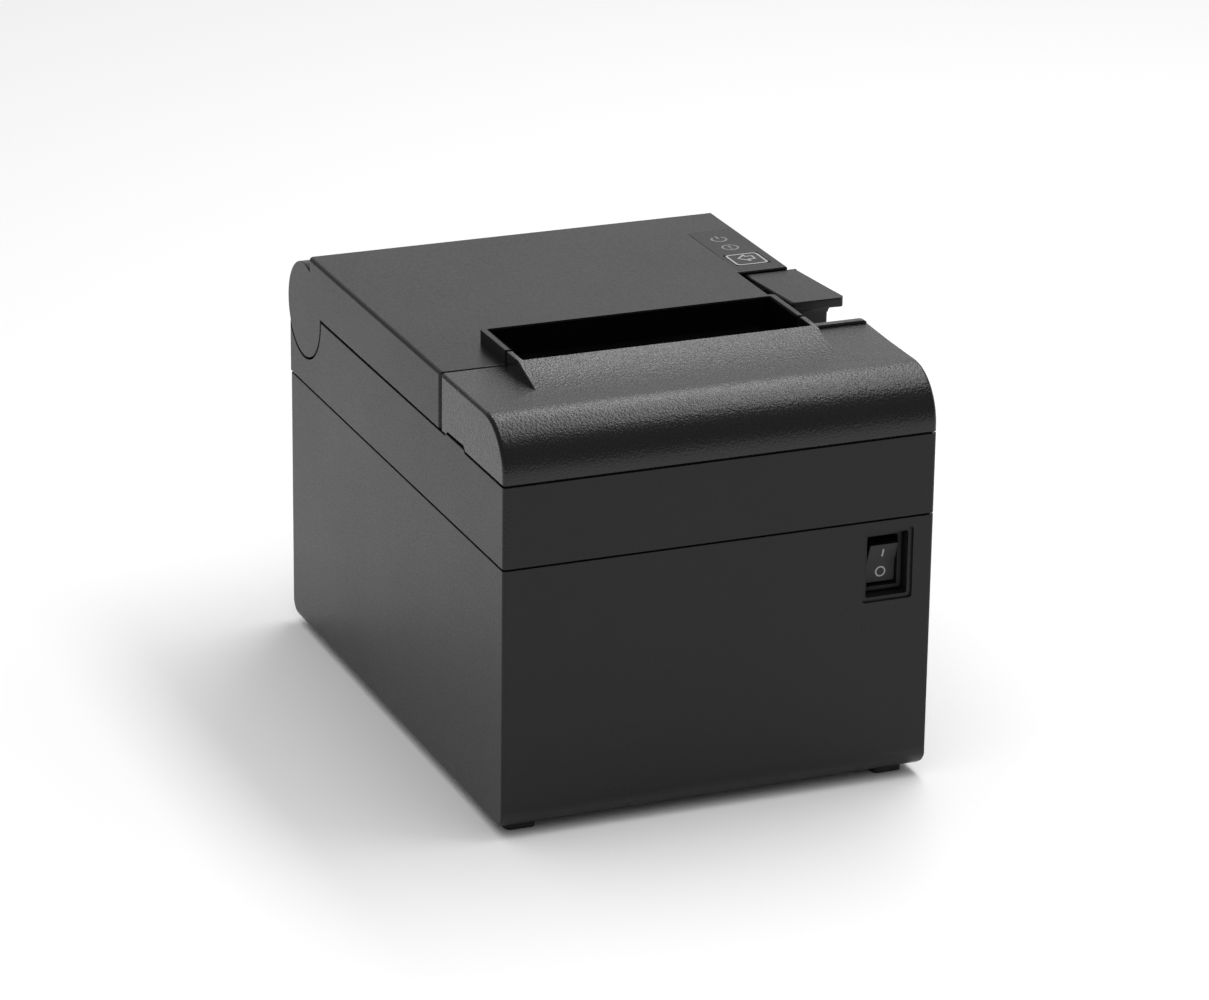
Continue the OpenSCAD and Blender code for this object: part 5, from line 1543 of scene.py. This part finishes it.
@dataclass
class Contacts:
    """The gilt contacts inside the rear sockets, placed from each socket's corner, in millimetres.

    A row is a socket, how many contacts it has, their pitch, their middle from the socket's rear
    face and its foot, their size, and their slope in degrees.
    """

    rows: tuple[tuple[str, int, float, Pair, Triple, float], ...] = (
        ("lan_port", 8, 1.02, (6.2, 10.0), (0.45, 6.3, 0.35), 29.0),
        ("drawer_port", 6, 1.02, (6.2, 4.0), (0.45, 6.3, 0.35), -29.0),
        ("usb_port", 2, 2.5, (4.6, 6.84), (1.0, 6.0, 0.16), 0.0),
        ("usb_port", 2, 2.0, (4.6, 3.76), (1.0, 6.0, 0.16), 0.0),
    )

    def build(self) -> Pieces:
        """Makes the piece.

        Returns:
            The piece, in a list.
        """
        points, sizes, turns = [], [], []
        for node, count, pitch, (depth, height), size, slope in self.rows:
            low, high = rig.box(node)
            for k in range(count):
                x = (low[0] + high[0]) / 2 + (k - (count - 1) / 2) * pitch * MM
                points.append((x, high[1] - depth * MM, low[2] + height * MM))
                sizes.append([c * MM for c in size])
                turns.append((math.radians(slope), 0.0, 0.0))
        coat = Coat(GOLD, frame["nodes"]["lan_port"]["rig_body"], "brass")
        return [bar_tree().grow("socket_contacts", points, {"size": sizes, "turn": turns}, coat)]


# ---------------------------------------------------------------- studio


@dataclass
class Studio:
    """A pale floor with painted light near and painted shade far, a soft backdrop, one lamp overhead and the camera."""

    camera_at: Triple = (-0.5925, -1.4384, 0.6514)
    back: Triple = (-0.3575, -0.8656, 0.3507)
    roll: float = 0.76
    focal_px: float = 5078.8
    frame_px: float = 1209.0
    sensor: float = 36.0
    clip: Pair = (0.05, 50.0)
    floor_half: float = 4.0
    # The floor is lighter near the camera and darker far from it: painted light and shade of the lamp's fall-off, which
    # also lifts the shadows near the printer.
    floor_near: float = 0.94
    floor_far: float = 0.76
    floor_fade: Pair = (-0.5, 1.1)
    cloud_size: float = 0.6
    cloud_strength: float = 0.02
    backdrop_pale: float = 0.86
    backdrop_dim: float = 0.25
    backdrop_fade: Pair = (0.45, 0.85)
    backdrop_side: Pair = (0.35, 0.8)
    backdrop_slant: float = 0.7
    sky_low: float = 0.3
    sky_high: float = 1.45
    sky_focus: float = 3.0
    lamp_at: Triple = (0.5, 0.22, 1.2)
    lamp_size: Pair = (0.26, 1.5)
    lamp_power: float = 8.0

    def build(self) -> Pieces:
        """Makes the stage and returns its objects."""
        self.make_world()
        return [self.make_floor(), self.make_lamp(), self.make_camera()]

    def make_floor(self) -> bpy.types.Object:
        """Makes the floor that the printer stands on.

        Returns:
            The floor.
        """
        nodes = Nodes("studio_floor")
        cloud = nodes.noise(self.cloud_size) * self.cloud_strength
        # Painted light and shade: the floor's colour darkens from near to far, with faint random clouds.
        share = nodes.along(1).ramp(*self.floor_fade) + cloud
        colour = nodes.blend(share, grey(self.floor_near), grey(self.floor_far))
        nodes.end(nodes.add("ShaderNodeBsdfDiffuse", {}, {"Color": colour}))
        half = self.floor_half
        corners = [(-half, -half, 0.0), (half, -half, 0.0), (half, half, 0.0), (-half, half, 0.0)]
        floor = mesh_object("studio_floor", corners, [(0, 1, 2, 3)])
        floor.data.materials.append(nodes.owner)
        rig.stage(floor)
        return floor

    def make_world(self) -> None:
        """Sets a pale backdrop to look at, and soft light that comes mostly from above."""
        nodes = Nodes("studio_world", world=True)
        bpy.context.scene.world = nodes.owner
        height = nodes.along(2)
        low = 1.0 - height.ramp(*self.backdrop_fade)
        behind = ((nodes.along(0) + nodes.along(1)) * self.backdrop_slant).ramp(*self.backdrop_side)
        glow = self.backdrop_dim + low * behind * (self.backdrop_pale - self.backdrop_dim)
        white = (1.0, 1.0, 1.0, 1.0)
        seen = nodes.add("ShaderNodeBackground", {}, {"Color": white, "Strength": glow})
        overhead = height.ramp(0.0, 1.0) ** self.sky_focus
        sky = self.sky_low + overhead * (self.sky_high - self.sky_low)
        lit = nodes.add("ShaderNodeBackground", {}, {"Color": white, "Strength": sky})
        eye = nodes.add("ShaderNodeLightPath", {}, {}, "Is Camera Ray")
        gloss = nodes.add("ShaderNodeLightPath", {}, {}, "Is Glossy Ray")
        nodes.end(nodes.add("ShaderNodeMixShader", {}, {0: eye + gloss, 1: lit, 2: seen}, 0))

    def make_lamp(self) -> bpy.types.Object:
        """Hangs the soft lamp, turned to the printer's foot.

        Returns:
            The lamp.
        """
        data = bpy.data.lights.new("overhead", "AREA")
        data.shape = "RECTANGLE"
        data.size, data.size_y = self.lamp_size
        data.energy = self.lamp_power
        outward = Vector(self.lamp_at).normalized()
        across = Vector((0, 1, 0)).cross(outward).normalized()
        return aimed("overhead", data, (across, outward.cross(across), outward), self.lamp_at)

    def make_camera(self) -> bpy.types.Object:
        """Sets the camera at its measured place.

        Returns:
            The camera.
        """
        data = bpy.data.cameras.new("camera")
        data.sensor_width = self.sensor
        data.lens = self.focal_px / self.frame_px * self.sensor
        data.clip_start, data.clip_end = self.clip
        back = Vector(self.back).normalized()
        right = Vector((0, 0, 1)).cross(back).normalized()
        up = back.cross(right)
        turn = math.radians(self.roll)
        across = right * math.cos(turn) + up * math.sin(turn)
        upward = up * math.cos(turn) - right * math.sin(turn)
        camera = aimed("camera", data, (across, upward, back), self.camera_at)
        bpy.context.scene.camera = camera
        bpy.context.scene.view_settings.view_transform = "Standard"
        return camera


def write_sizes(path: str = "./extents.json") -> None:
    """Writes the CAD box and the dressed printer's box.

    Args:
        path: The file.
    """
    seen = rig.bounds()
    rows = {"cad": [list(c) for c in CAD_BOX], "visual": [list(c) for c in seen]}
    with open(path, "w") as out:
        json.dump(rows, out, indent=1)
    for name, (low, high) in (("cad", CAD_BOX), ("visual", seen)):
        LOG.info("%s box %s to %s", name, [round(v, 5) for v in low], [round(v, 5) for v in high])


def main() -> None:
    """Builds every sub-assembly in order and reports each piece."""
    logging.basicConfig(level=logging.INFO, format="%(name)s: %(message)s")
    parts = (LowerCase(), TopCover(), PaperLid(), ControlPanel(), OpenLever(), PowerSwitch(),
             Mechanism(), Electronics(), Fasteners(), Contacts(), Studio())
    for part in parts:
        for piece in part.build():
            LOG.info("%s: %s", type(part).__name__, piece.name)
    write_sizes()


if __name__ == "__main__":
    main()
